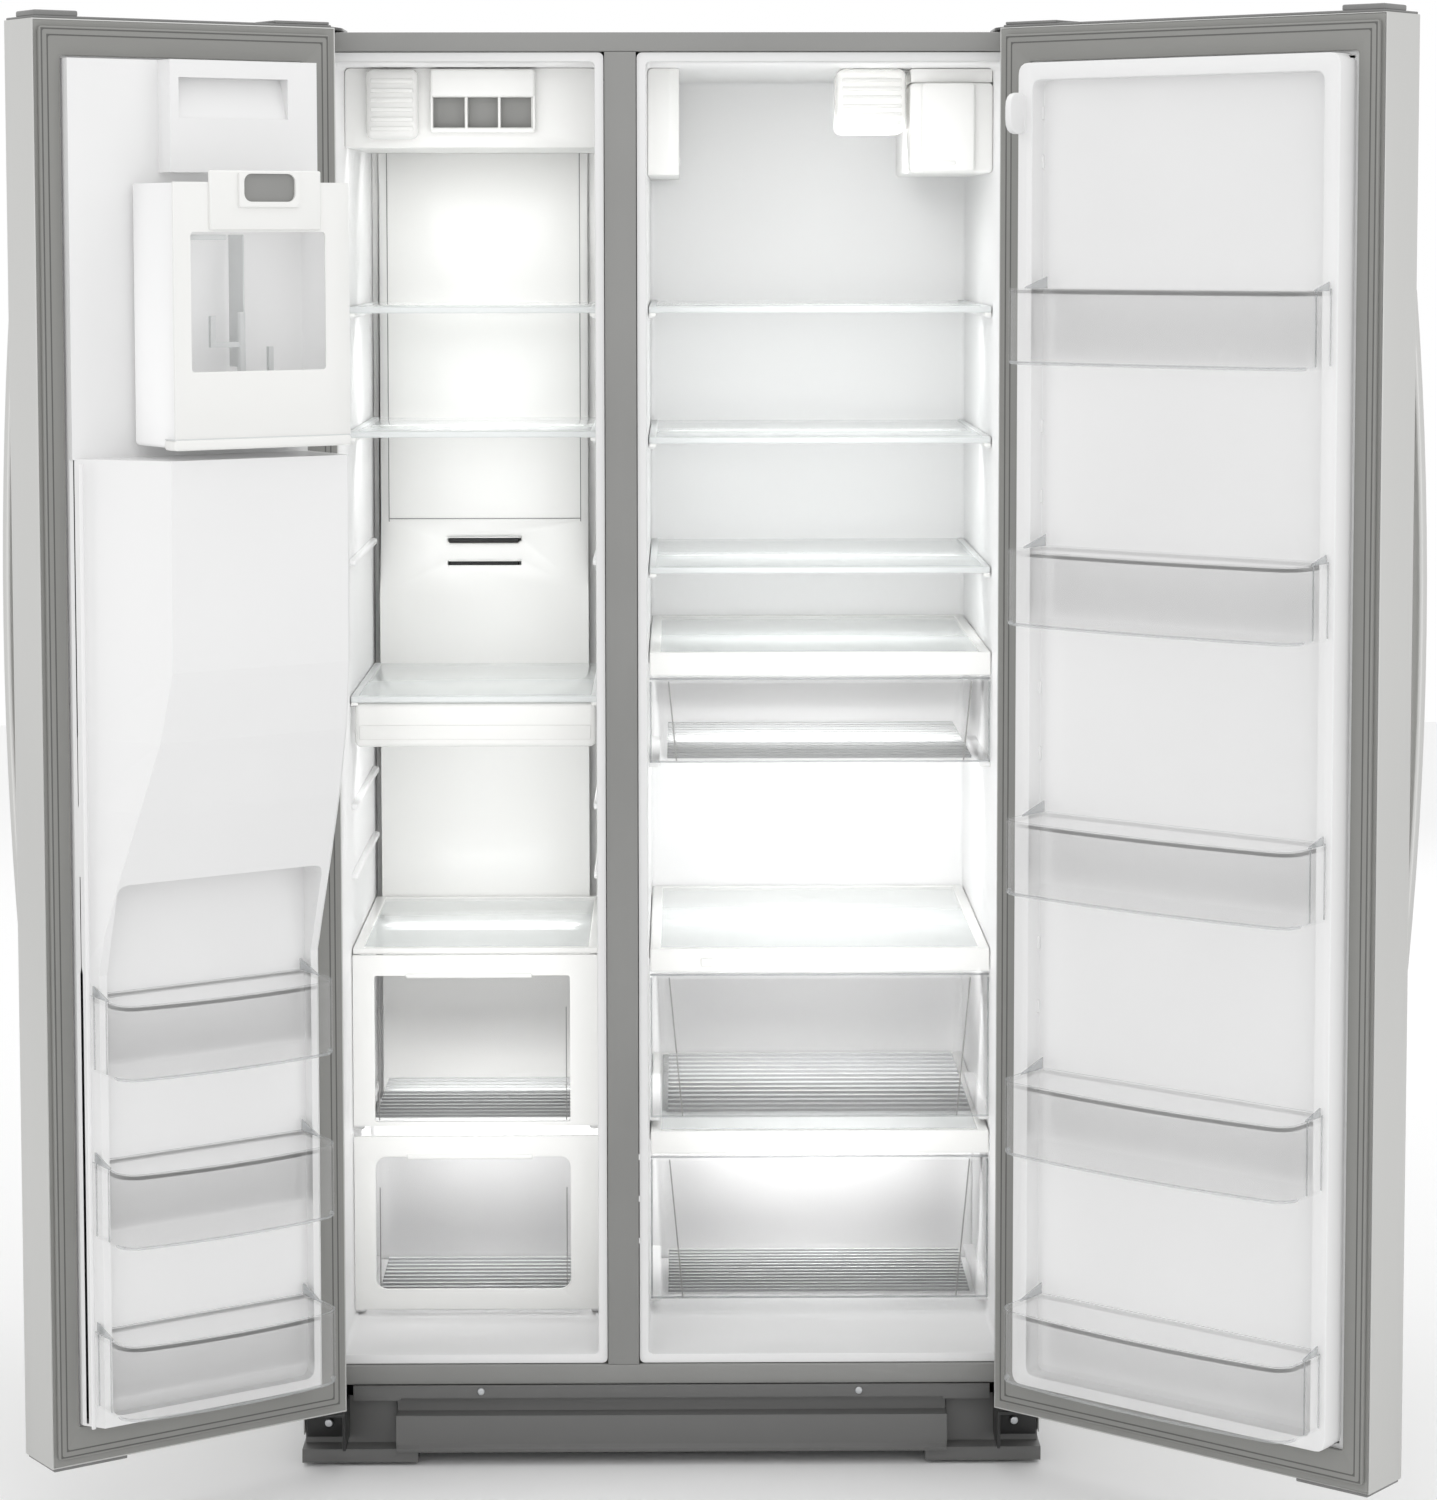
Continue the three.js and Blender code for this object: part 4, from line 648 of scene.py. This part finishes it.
def clear_drawer(node):
    x, y, z = place_of(node)
    tub = tapered_tub(node + "_moulding", (x[0] + 7, x[1] - 7), (y[0] + 4, y[1]),
                      (z[0] + 1, z[1] - 9), 7, 2, 8)
    finish_piece(tub, clear, node)
    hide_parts(node)
    trim(node + "_front", x, (y[0], y[0] + 3), z, clear, node, 1.2)
    rim = make_box(node + "_rim", x, (y[0] - 0.5, y[0] + 4), (z[1] - 4, z[1] - 1.5))
    round_edges(rim, 1, 2)
    finish_piece(rim, painted_edge_shade, node)
    ribs = floor_ribs(node + "_floor_ribs", (x[0] + 22, x[1] - 22), (y[0] + 20, y[1] - 30), z[0] + 3, 14)
    finish_piece(ribs, painted_rib_shade, node)
    slant = (z[1] - z[0]) * 0.09
    for side, base in (("left", x[0] + 24), ("right", x[1] - 24)):
        lean = slant if side == "left" else -slant
        edge = make_box(f"{node}_window_edge_{side}", (base - 0.9, base + 0.9), (y[0] - 1, y[0] + 1),
                        (z[0] + 2, z[1] - 6))
        shape = edit(edge, "VERT")
        for vert in shape.verts:
            vert.select_set(vert.co.z < (z[0] + z[1]) / 2000)
        bmesh.update_edit_mesh(edge.data)
        bpy.ops.transform.translate(value=(lean / 1000, 0, 0))
        bpy.ops.object.mode_set(mode="OBJECT")
        finish_piece(edge, shadow_gray, node)
    bar_width = 2.4
    bar_y = (y[0] - 0.4, y[0] + 3.4)
    for side, x0 in (("left", x[0]), ("right", x[1] - bar_width)):
        bar = make_box(f"{node}_corner_{side}", (x0, x0 + bar_width), bar_y, (z[0], z[1] - 6))
        round_edges(bar, 1, 2)
        finish_piece(bar, painted_edge_shade, node)
    foot = make_box(node + "_foot", x, bar_y, (z[0], z[0] + bar_width))
    round_edges(foot, 1, 2)
    finish_piece(foot, painted_edge_shade, node)


for drawer in ("deli_drawer", "crisper_upper", "crisper_lower"):
    clear_drawer(drawer)


# The freezer drawers have a white moulded front with a clear window, a pull lip
# along the top, and a clear ribbed tub behind.
def freezer_drawer(node, window_low, corner):
    x, y, z = place_of(node)
    window = (x[0] + 27, x[1] - 37, window_low, z[1] - 26)
    front = flat_ring(node + "_front", (x[0], x[1], z[0], z[1]), window, (y[0], y[0] + 6), corner, 1.6)
    finish_piece(front, moulded, node)
    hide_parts(node)
    pane = make_box(node + "_window", (window[0] - 4, window[1] + 4), (y[0] + 6.2, y[0] + 8.4),
                    (window[2] - 4, window[3] + 4))
    round_edges(pane, 0.8, 2)
    finish_piece(pane, clear, node)
    tub = tapered_tub(node + "_tub", (x[0] + 8, x[1] - 8), (y[0] + 9, y[1]),
                      (z[0] + 3, z[1] - 12), 10, 2, 10)
    finish_piece(tub, clear, node)
    # The floor ribs take the painted rib shade.
    ribs = floor_ribs(node + "_floor_ribs", (x[0] + 26, x[1] - 26), (y[0] + 24, y[1] - 24), z[0] + 5.2, 12)
    finish_piece(ribs, painted_rib_shade, node)
    trim(node + "_pull", (window[0] + 40, window[1] - 48), (y[0] - 2, y[0] + 4),
         (window[3] - 3, window[3] + 3), moulded, node, 2, 3)
    trim(node + "_pull_shadow", (window[0], window[1]), (y[0] + 5, y[0] + 6.1),
         (window[3] - 1, window[3] + 0.4), shadow_gray, node, 0.3)
    for side, base in (("left", window[0] + 5), ("right", window[1] - 5)):
        trim(f"{node}_tub_edge_{side}", (base - 0.7, base + 0.7), (y[0] + 8.5, y[0] + 10),
             (window[2], window[3] - 42), shadow_gray, node, 0.3)


upper_z = place_of("freezer_drawer_upper")[2][0]
lower_z = place_of("freezer_drawer_lower")[2][0]
freezer_drawer("freezer_drawer_upper", upper_z + 5, 3)
freezer_drawer("freezer_drawer_lower", lower_z + 26, 14)


# The toe grille is moulded gray ABS, held to the frame by two bright screws. The
# hinge brackets are black-coated steel plates; a screw and a bolt hold each lower one.
grille_gray, grille_shader = plain_material("moulded_gray_abs", "#636362", 0.45)
stipple(grille_gray, grille_shader, 0.8, 0.15)
finished_copy("base_grille", "toe_grille", 2, grille_gray, "cabinet")
dark_steel, dark_shader = plain_material("black_coated_steel", "#3a3a3a", 0.4, 0.5)
stipple(dark_steel, dark_shader, 0.8, 0.18)
bright_steel, bright_steel_shader = plain_material("zinc_plated_steel", "#c4c6c8", 0.3, 1.0)
stipple(bright_steel, bright_steel_shader, 1.5, 0.1)
for node in ("top_hinge_left", "top_hinge_right", "bottom_hinge_left", "bottom_hinge_right"):
    finished_copy(node, node + "_bracket", 1, dark_steel, "cabinet")


def screw(name, place, radius):
    """A plain round screw head that looks along the cabinet's depth."""
    nothing_selected()
    bpy.ops.mesh.primitive_cylinder_add(vertices=24, radius=radius / 1000, depth=0.004,
                                        location=mm(*place), rotation=(math.radians(90), 0, 0))
    head = bpy.context.object
    head.name = name
    bpy.ops.object.transform_apply(location=True, rotation=True, scale=True)
    round_edges(head, 1.1, 3)
    finish_piece(head, bright_steel, "cabinet")


screw("grille_screw_left", (-235, -3, 91), 4.5)
screw("grille_screw_right", (231, -3, 91), 4.5)
for side, sign in (("left", -1), ("right", 1)):
    screw(f"bottom_hinge_screw_{side}", (sign * 414, 10.5, 70), 5)
    screw(f"bottom_hinge_bolt_{side}", (sign * 424, 10.5, 48), 5)


# The doors are stainless steel pans, brushed up and down.
# The brushing is drawn 0.6 mm wide, coarser than the real grain, so that it shows.
steel, steel_shader = plain_material("brushed_stainless_steel", "#cbcbc9", 0.3, 1.0, Anisotropic=0.5)
steel_place = link_node(steel, "ShaderNodeTexCoord")
stretched = link_node(steel, "ShaderNodeMapping", {"Scale": (1, 1, 0.006)},
                      Vector=steel_place.outputs["Object"])
brush = link_node(steel, "ShaderNodeTexNoise", {"Scale": 1700, "Detail": 3.0},
                  Vector=stretched.outputs["Vector"])
brush_bump = link_node(steel, "ShaderNodeBump", {"Strength": 0.12, "Distance": 0.0003},
                       Height=brush.outputs["Fac"])
steel.node_tree.links.new(brush_bump.outputs["Normal"], steel_shader.inputs["Normal"])
brush_gloss = link_node(steel, "ShaderNodeMapRange", {"To Min": 0.26, "To Max": 0.4},
                        Value=brush.outputs["Fac"])
steel.node_tree.links.new(brush_gloss.outputs["Result"], steel_shader.inputs["Roughness"])
finished_copy("freezer_door_skin", "freezer_door_pan", 1.5, steel, "freezer_door")
finished_copy("fridge_door_skin", "fridge_door_pan", 1.5, steel, "fridge_door")
finished_copy("freezer_door_handle", "freezer_handle_bar", 5, steel, "freezer_door", 4)
finished_copy("fridge_door_handle", "fridge_handle_bar", 5, steel, "fridge_door", 4)


# Each door's pieces are made as it stands shut and are then swung open about its
# hinge pin, by the angle at which the door stands here.
PIN_X, PIN_Y = 434.5, -50
OPEN = {"freezer_door": -146, "fridge_door": 140.5}
SIDE = {"freezer_door": -1, "fridge_door": 1}
REACH = {"freezer_door": 367, "fridge_door": 496}


def along(door, a, b):
    """The range across the cabinet from a to b, both counted from the pin to the latch."""
    pin = SIDE[door] * PIN_X
    ends = (pin - SIDE[door] * a, pin - SIDE[door] * b)
    return min(ends), max(ends)


def swing_open(piece, door):
    pin = mm(SIDE[door] * PIN_X, PIN_Y, 0)
    turn = Matrix.Rotation(math.radians(OPEN[door]), 4, "Z")
    piece.data.transform(Matrix.Translation(pin) @ turn @ Matrix.Translation(-pin))
    piece.data.update()


def door_piece(piece, door, material, body=None):
    swing_open(piece, door)
    finish_piece(piece, material, body or door)


def door_trim(name, door, a, y, z, material, radius=1.0, segments=2, body=None):
    piece = make_box(name, along(door, *a), y, z)
    round_edges(piece, radius, segments)
    door_piece(piece, door, material, body)


# A gray flange closes the back of each pan round the liner, and the seal is a soft
# gray PVC extrusion: a flat band with a hollow bellows. Its darker fold outside is
# painted shade: two thin dark rings where the folds hold shadow.
flange_gray, flange_gray_shader = plain_material("gray_door_flange", "#8e8e8b", 0.5)
stipple(flange_gray, flange_gray_shader, 1.4, 0.12)
seal, seal_shader = plain_material("gray_pvc_seal", "#8b8b88", 0.55)
stipple(seal, seal_shader, 1.0, 0.15)
seal_crease_shade, seal_crease_shade_shader = plain_material("gray_pvc_painted_crease_shade", "#5f5f5d", 0.7)
stipple(seal_crease_shade, seal_crease_shade_shader, 1.0, 0.15)
finished_copy("freezer_door_liner", "freezer_door_inner", 0, white, "freezer_door")
finished_copy("fridge_door_liner", "fridge_door_inner", 3, white, "fridge_door")
# The formed edge of the freezer door's liner, beside its latch.
door_trim("freezer_liner_bead", "freezer_door", (328.6, 334), (26.4, 29.4), (140, 1256), white,
          1.4, 3)
FLANGE_Y = (-8.28, -8.05)
FOLD_Y = (-1.9, -1.4)
FOLD_WIDTH = 1.6
for door in ("freezer_door", "fridge_door"):
    reach = REACH[door]
    outer = (*along(door, -18.2, reach - 1.8), 90.8, 1755.7)
    hole = (*along(door, 24, reach - 27), 132, 1719)
    flange = flat_ring(door + "_flange", outer, hole, FLANGE_Y, 6, 0)
    door_piece(flange, door, flange_gray)
    finished_copy(door + "_gasket", door + "_seal", 1.5, seal, door)
    # Painted shade: thin dark rings stand for the shadow in the seal's folds.
    for word, inset in (("outer", 2), ("inner", 9)):
        ring_outer = (*along(door, -9 + inset, reach - 6 - inset), 100 + inset, 1748.5 - inset)
        ring_hole = (*along(door, -9 + inset + FOLD_WIDTH, reach - 6 - inset - FOLD_WIDTH),
                     100 + inset + FOLD_WIDTH, 1748.5 - inset - FOLD_WIDTH)
        fold = flat_ring(f"{door}_seal_crease_shade_{word}", ring_outer, ring_hole, FOLD_Y, 3, 0)
        door_piece(fold, door, seal_crease_shade)


# The door bins hang between the liner's raised edges: clear polystyrene, a bowed
# front with round corners, a rolled rim, an ear at each end and two brackets at the
# latch end.
def rim_faces(piece, material, test):
    """Gives these faces the piece's second material: painted shade where a clear edge turns gray."""
    piece.data.materials.append(material)
    for face in piece.data.polygons:
        if test(face):
            face.material_index = 1


BIN_Y = (14, 115)
BIN_BOW = 13
BOW_STEPS = 12
RIM_WIDTH = 2.5


def door_bin(node, door, a, z):
    """A bin from a[0] to a[1], counted from the pin, its front bowed by BIN_BOW."""
    x = along(door, *a)
    width = x[1] - x[0]
    depth = BIN_Y[1] - BIN_Y[0]
    front = mm(0, 60, 0).y
    bin_piece = make_box(node + "_moulding", x, BIN_Y, z)
    pick_faces(bin_piece, (0, 0, 1))
    bpy.ops.mesh.delete(type="FACE")
    for i in range(1, BOW_STEPS):
        edit(bin_piece)
        bpy.ops.mesh.select_all(action="SELECT")
        bpy.ops.mesh.bisect(plane_co=mm(x[0] + width * i / BOW_STEPS, 0, 0), plane_no=(1, 0, 0))
    shape = edit(bin_piece, "VERT")
    for vert in shape.verts:
        if vert.co.y > front:
            across = ((vert.co.x - MIDDLE) * 1000 - sum(x) / 2) / (width / 2)
            vert.co.y -= BIN_BOW / 1000 * across ** 2
    bmesh.update_edit_mesh(bin_piece.data)
    shape = edit(bin_piece, "EDGE")
    for edge in shape.edges:
        upright = abs(edge.verts[0].co.z - edge.verts[1].co.z) > 0.02
        at_end = min(abs(edge.verts[0].co.x - mm(end, 0, 0).x) for end in x) < 0.001
        edge.select_set(upright and at_end and edge.verts[0].co.y > front)
    bmesh.update_edit_mesh(bin_piece.data)
    bpy.ops.mesh.bevel(offset=0.022, segments=6, affect="EDGES")
    bpy.ops.object.mode_set(mode="OBJECT")
    round_edges(bin_piece, 4, 3, 50)
    shape = edit(bin_piece, "EDGE")
    for edge in shape.edges:
        edge.select_set(edge.is_boundary)
    bmesh.update_edit_mesh(bin_piece.data)
    bpy.ops.mesh.extrude_region_move()
    middle = mm(sum(x) / 2, 64, z[1])
    shrink = ((width - 2 * RIM_WIDTH) / width, (depth - 2 * RIM_WIDTH) / depth, 1)
    bpy.ops.transform.resize(value=shrink, center_override=middle)
    bpy.ops.mesh.extrude_region_move(TRANSFORM_OT_translate={"value": (0, 0, -0.006)})
    bpy.ops.mesh.select_all(action="SELECT")
    bpy.ops.mesh.normals_make_consistent(inside=False)
    bpy.ops.object.mode_set(mode="OBJECT")
    give_wall(bin_piece, 2, -1)
    bpy.ops.object.shade_smooth_by_angle(angle=math.radians(35))
    finish_piece(bin_piece, clear, node)
    # The rim and the front's lower bend take the painted edge shade.
    rim_faces(bin_piece, painted_edge_shade, lambda face: (face.center.z * 1000 > z[1] - 1.2)
              or (face.center.z * 1000 < z[0] + 5 and 0.1 < abs(face.normal.z) < 0.97
                  and face.center.y > front))
    swing_open(bin_piece, door)
    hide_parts(node)
    for i, y0 in enumerate((30, 62)):
        bracket = make_box(f"{node}_bracket_{i + 1}", along(door, a[1] - 0.5, a[1] + 1), (y0, y0 + 2),
                           (z[0] + 4, z[1] + 2))
        round_edges(bracket, 0.5, 2)
        door_piece(bracket, door, painted_edge_shade, node)
    for word, end in (("hinge", (a[0] + 3, a[0] + 5)), ("latch", (a[1] - 5, a[1] - 3))):
        ear = make_box(f"{node}_ear_{word}", along(door, *end), (14.5, 60), (z[1] - 1, z[1] + 13))
        shape = edit(ear, "VERT")
        for vert in shape.verts:
            if vert.co.y > mm(0, 40, 0).y and vert.co.z * 1000 > z[1] + 5:
                vert.co.z -= 0.012
        bmesh.update_edit_mesh(ear.data)
        bpy.ops.object.mode_set(mode="OBJECT")
        round_edges(ear, 0.8, 2)
        door_piece(ear, door, painted_edge_shade, node)


for i in (1, 2, 3):
    node = f"freezer_door_bin_{i}"
    door_bin(node, "freezer_door", (46, REACH["freezer_door"] - 42), place_of(node)[2])
for i in (1, 2, 3, 4, 5):
    node = f"fridge_door_bin_{i}"
    door_bin(node, "fridge_door", (60, REACH["fridge_door"] - 44), place_of(node)[2])


# The ice bin tilts on the door's seat. It is a white moulded box with a clear window,
# a finger recess in its top plate, and an auger turning inside. Its shell carries a
# faint painted glow, an emission standing in for the light its thin walls let through.
bin_y = (16, 123)
bin_front = 125
# Painted glow: a faint white emission on the shell, though the bin is no lamp.
glow_painted_white, glow_painted_white_shader = plain_material("white_polystyrene_painted_glow", "#ececec", 0.35,
                                                 Emission_Strength=0.1)
glow_painted_white_shader.inputs["Emission Color"].default_value = srgb("#ffffff")
stipple(glow_painted_white, glow_painted_white_shader, 1.2, 0.05)
bin_shell = make_box("ice_bin_shell", along("freezer_door", 38, 258), bin_y, (1274, 1572))
pick_faces(bin_shell, (0, 1, 0))
bpy.ops.mesh.delete(type="FACE")
pick_faces(bin_shell, (0, 0, 1))
bpy.ops.mesh.delete(type="FACE")
bpy.ops.object.mode_set(mode="OBJECT")
round_edges(bin_shell, 5, 4, 50)
give_wall(bin_shell, 2.5)
door_piece(bin_shell, "freezer_door", glow_painted_white, "ice_bin")
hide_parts("ice_bin")
bin_window = (*along("freezer_door", 68, 239), 1360, 1517)
bin_plate = flat_ring("ice_bin_front", (*along("freezer_door", 37, 260), 1284, 1573), bin_window,
                      (bin_front - 3, bin_front), 4, 1.2)
door_piece(bin_plate, "freezer_door", moulded, "ice_bin")
door_trim("ice_bin_window", "freezer_door", (66, 241), (bin_front - 5, bin_front - 3.4), (1357, 1520),
          clear, 0.6, body="ice_bin")
door_trim("ice_bin_lip", "freezer_door", (37, 262), (100, bin_front + 3), (1272, 1284),
          moulded, 3, 3, "ice_bin")
door_trim("ice_bin_lip_line", "freezer_door", (38, 262), (101, bin_front + 1), (1283.6, 1285),
          rail_gray, 0.4, body="ice_bin")
door_trim("ice_bin_top_plate", "freezer_door", (75, 216), (bin_front - 2, bin_front + 4), (1519, 1586),
          moulded, 2, 3, "ice_bin")
recess_ring = flat_ring("ice_bin_grip_rim", (*along("freezer_door", 104, 181), 1545, 1583),
                        (*along("freezer_door", 110, 175), 1551, 1582.5),
                        (bin_front + 3.8, bin_front + 8), 9, 1.2)
door_piece(recess_ring, "freezer_door", moulded, "ice_bin")
door_trim("ice_bin_grip_hollow", "freezer_door", (110, 175), (bin_front + 3.6, bin_front + 4.4),
          (1551, 1582.5), shadow_gray, 0.2, body="ice_bin")
door_trim("ice_bin_inner_ledge", "freezer_door", (190, 236), (60, 118), (1508, 1514),
          rail_gray, 1, body="ice_bin")
door_trim("ice_bin_divider", "freezer_door", (138, 140), (24, 60), (1362, 1514),
          rail_gray, 0.6, body="ice_bin")
finished_copy("ice_auger", "ice_auger_wire", 0, rail_gray, "ice_auger")


# The ice and water dispenser is a black moulded niche in the outside of the left
# door, with a glossy control panel over it, a paddle and a slatted drip tray.
niche_black, niche_shader = plain_material("satin_black_abs", "#2c2c2e", 0.4)
stipple(niche_black, niche_shader, 0.7, 0.15)
gloss_black, gloss_black_shader = plain_material("gloss_black_acrylic", "#121213", 0.06, Coat_Weight=0.6)
stipple(gloss_black, gloss_black_shader, 40, 0.01)
button_gray, button_gray_shader = plain_material("silver_printed_key", "#8f9193", 0.3, 0.6)
stipple(button_gray, button_gray_shader, 0.8, 0.06)
finished_copy("dispenser_housing", "dispenser_niche", 1, niche_black, "freezer_door")
finished_copy("dispenser_paddle", "dispenser_paddle_pad", 1.5, steel, "dispenser_paddle", 3)
door_trim("dispenser_panel", "freezer_door", (80, 295), (-92.6, -90.4), (1246, 1341),
          gloss_black, 0.9, 3)
KEY_PITCH = 32
for i in range(6):
    key_left = 96 + i * KEY_PITCH
    door_trim(f"dispenser_key_{i + 1}", "freezer_door", (key_left, key_left + 22), (-93.2, -92.4),
              (1262, 1270), button_gray, 0.3)
door_trim("dispenser_display", "freezer_door", (150, 225), (-93.1, -92.5), (1292, 1324),
          button_gray, 0.3)
SLAT_PITCH = 22
for i in range(9):
    slat_left = 92 + i * SLAT_PITCH
    door_trim(f"drip_slat_{i + 1}", "freezer_door", (slat_left, slat_left + 6), (-86, -14), (943, 947),
              button_gray, 0.8)


# On the back: screws round the panel, the black gland where the supply lead enters,
# and the water inlet. No lead and no hose is fitted.
black_plastic, black_plastic_shader = plain_material("black_acetal", "#262626", 0.45)
stipple(black_plastic, black_plastic_shader, 0.9, 0.12)
BACK_SCREW_Y = 691.5
for side, x in (("left", -446), ("right", 446)):
    for i in range(6):
        screw(f"back_screw_{side}_{i + 1}", (x, BACK_SCREW_Y, 90 + i * 320), 5)
for i in range(4):
    screw(f"back_screw_top_{i + 1}", (-300 + i * 200, BACK_SCREW_Y, 1744), 5)
trim("supply_gland", (-352, -316), (689.8, 699), (52, 84), black_plastic, "cabinet", 3, 3)
trim("water_inlet_valve", (300, 336), (689.8, 702), (58, 88), black_plastic, "cabinet",
     3, 3)


# Under the cabinet: levelling legs at the front, rollers at the back, and the
# compressor, condenser and its fan in the machine space. The evaporator's fan is
# moulded white and turns behind the freezer's air cover.
foot_gray, foot_gray_shader = plain_material("gray_nylon_foot", "#4a4a4a", 0.6)
stipple(foot_gray, foot_gray_shader, 1.1, 0.2)
finished_copy("front_leg_left", "levelling_leg_left", 1, foot_gray, "cabinet")
finished_copy("front_leg_right", "levelling_leg_right", 1, foot_gray, "cabinet")
finished_copy("rear_rollers", "rear_roller_set", 1.5, foot_gray, "rollers")
compressor_paint, paint_shader = plain_material("black_air_dried_paint", "#1d1d1e", 0.35)
stipple(compressor_paint, paint_shader, 1.5, 0.2)
coat("compressor", compressor_paint)
fins, fins_shader = plain_material("rolled_aluminium_fin", "#b6babc", 0.35, 1.0)
stipple(fins, fins_shader, 2.0, 0.3)
coat("condenser", fins)
coat("condenser_fan", niche_black)
coat("evaporator_fan", moulded)


# The doors' upper and lower ends are closed by gray moulded caps, with a cover at
# the hinge and a raised block at the latch. The fresh-food door's liner has lugs that
# its bins hook over.
cap_gray, cap_shader = plain_material("gray_moulded_end_cap", "#7b7b7a", 0.45)
stipple(cap_gray, cap_shader, 0.9, 0.15)
for door in ("freezer_door", "fridge_door"):
    reach = REACH[door]
    door_trim(door + "_top_cap", door, (-16, reach - 3), (-84, -9), (1757.6, 1760.5), cap_gray,
              1)
    door_trim(door + "_top_block", door, (reach - 58, reach - 4), (-60, -10), (1760, 1767), cap_gray,
              2, 3)
    door_trim(door + "_hinge_cover", door, (-14, 58), (-62, -10), (1760.6, 1764), cap_gray,
              1.2, 2)
    door_trim(door + "_foot_cap", door, (reach - 96, reach - 3), (-82, -10), (84.6, 88.8), cap_gray,
              1.2, 2)
for i, z in enumerate((1655, 1598, 1288, 1205, 978, 900, 672, 595)):
    for side, a in (("hinge", 44), ("latch", REACH["fridge_door"] - 56)):
        door_trim(f"bin_lug_{side}_{i + 1}", "fridge_door", (a, a + 9), (2, 8), (z - 8, z + 8), white,
                  2, 3)
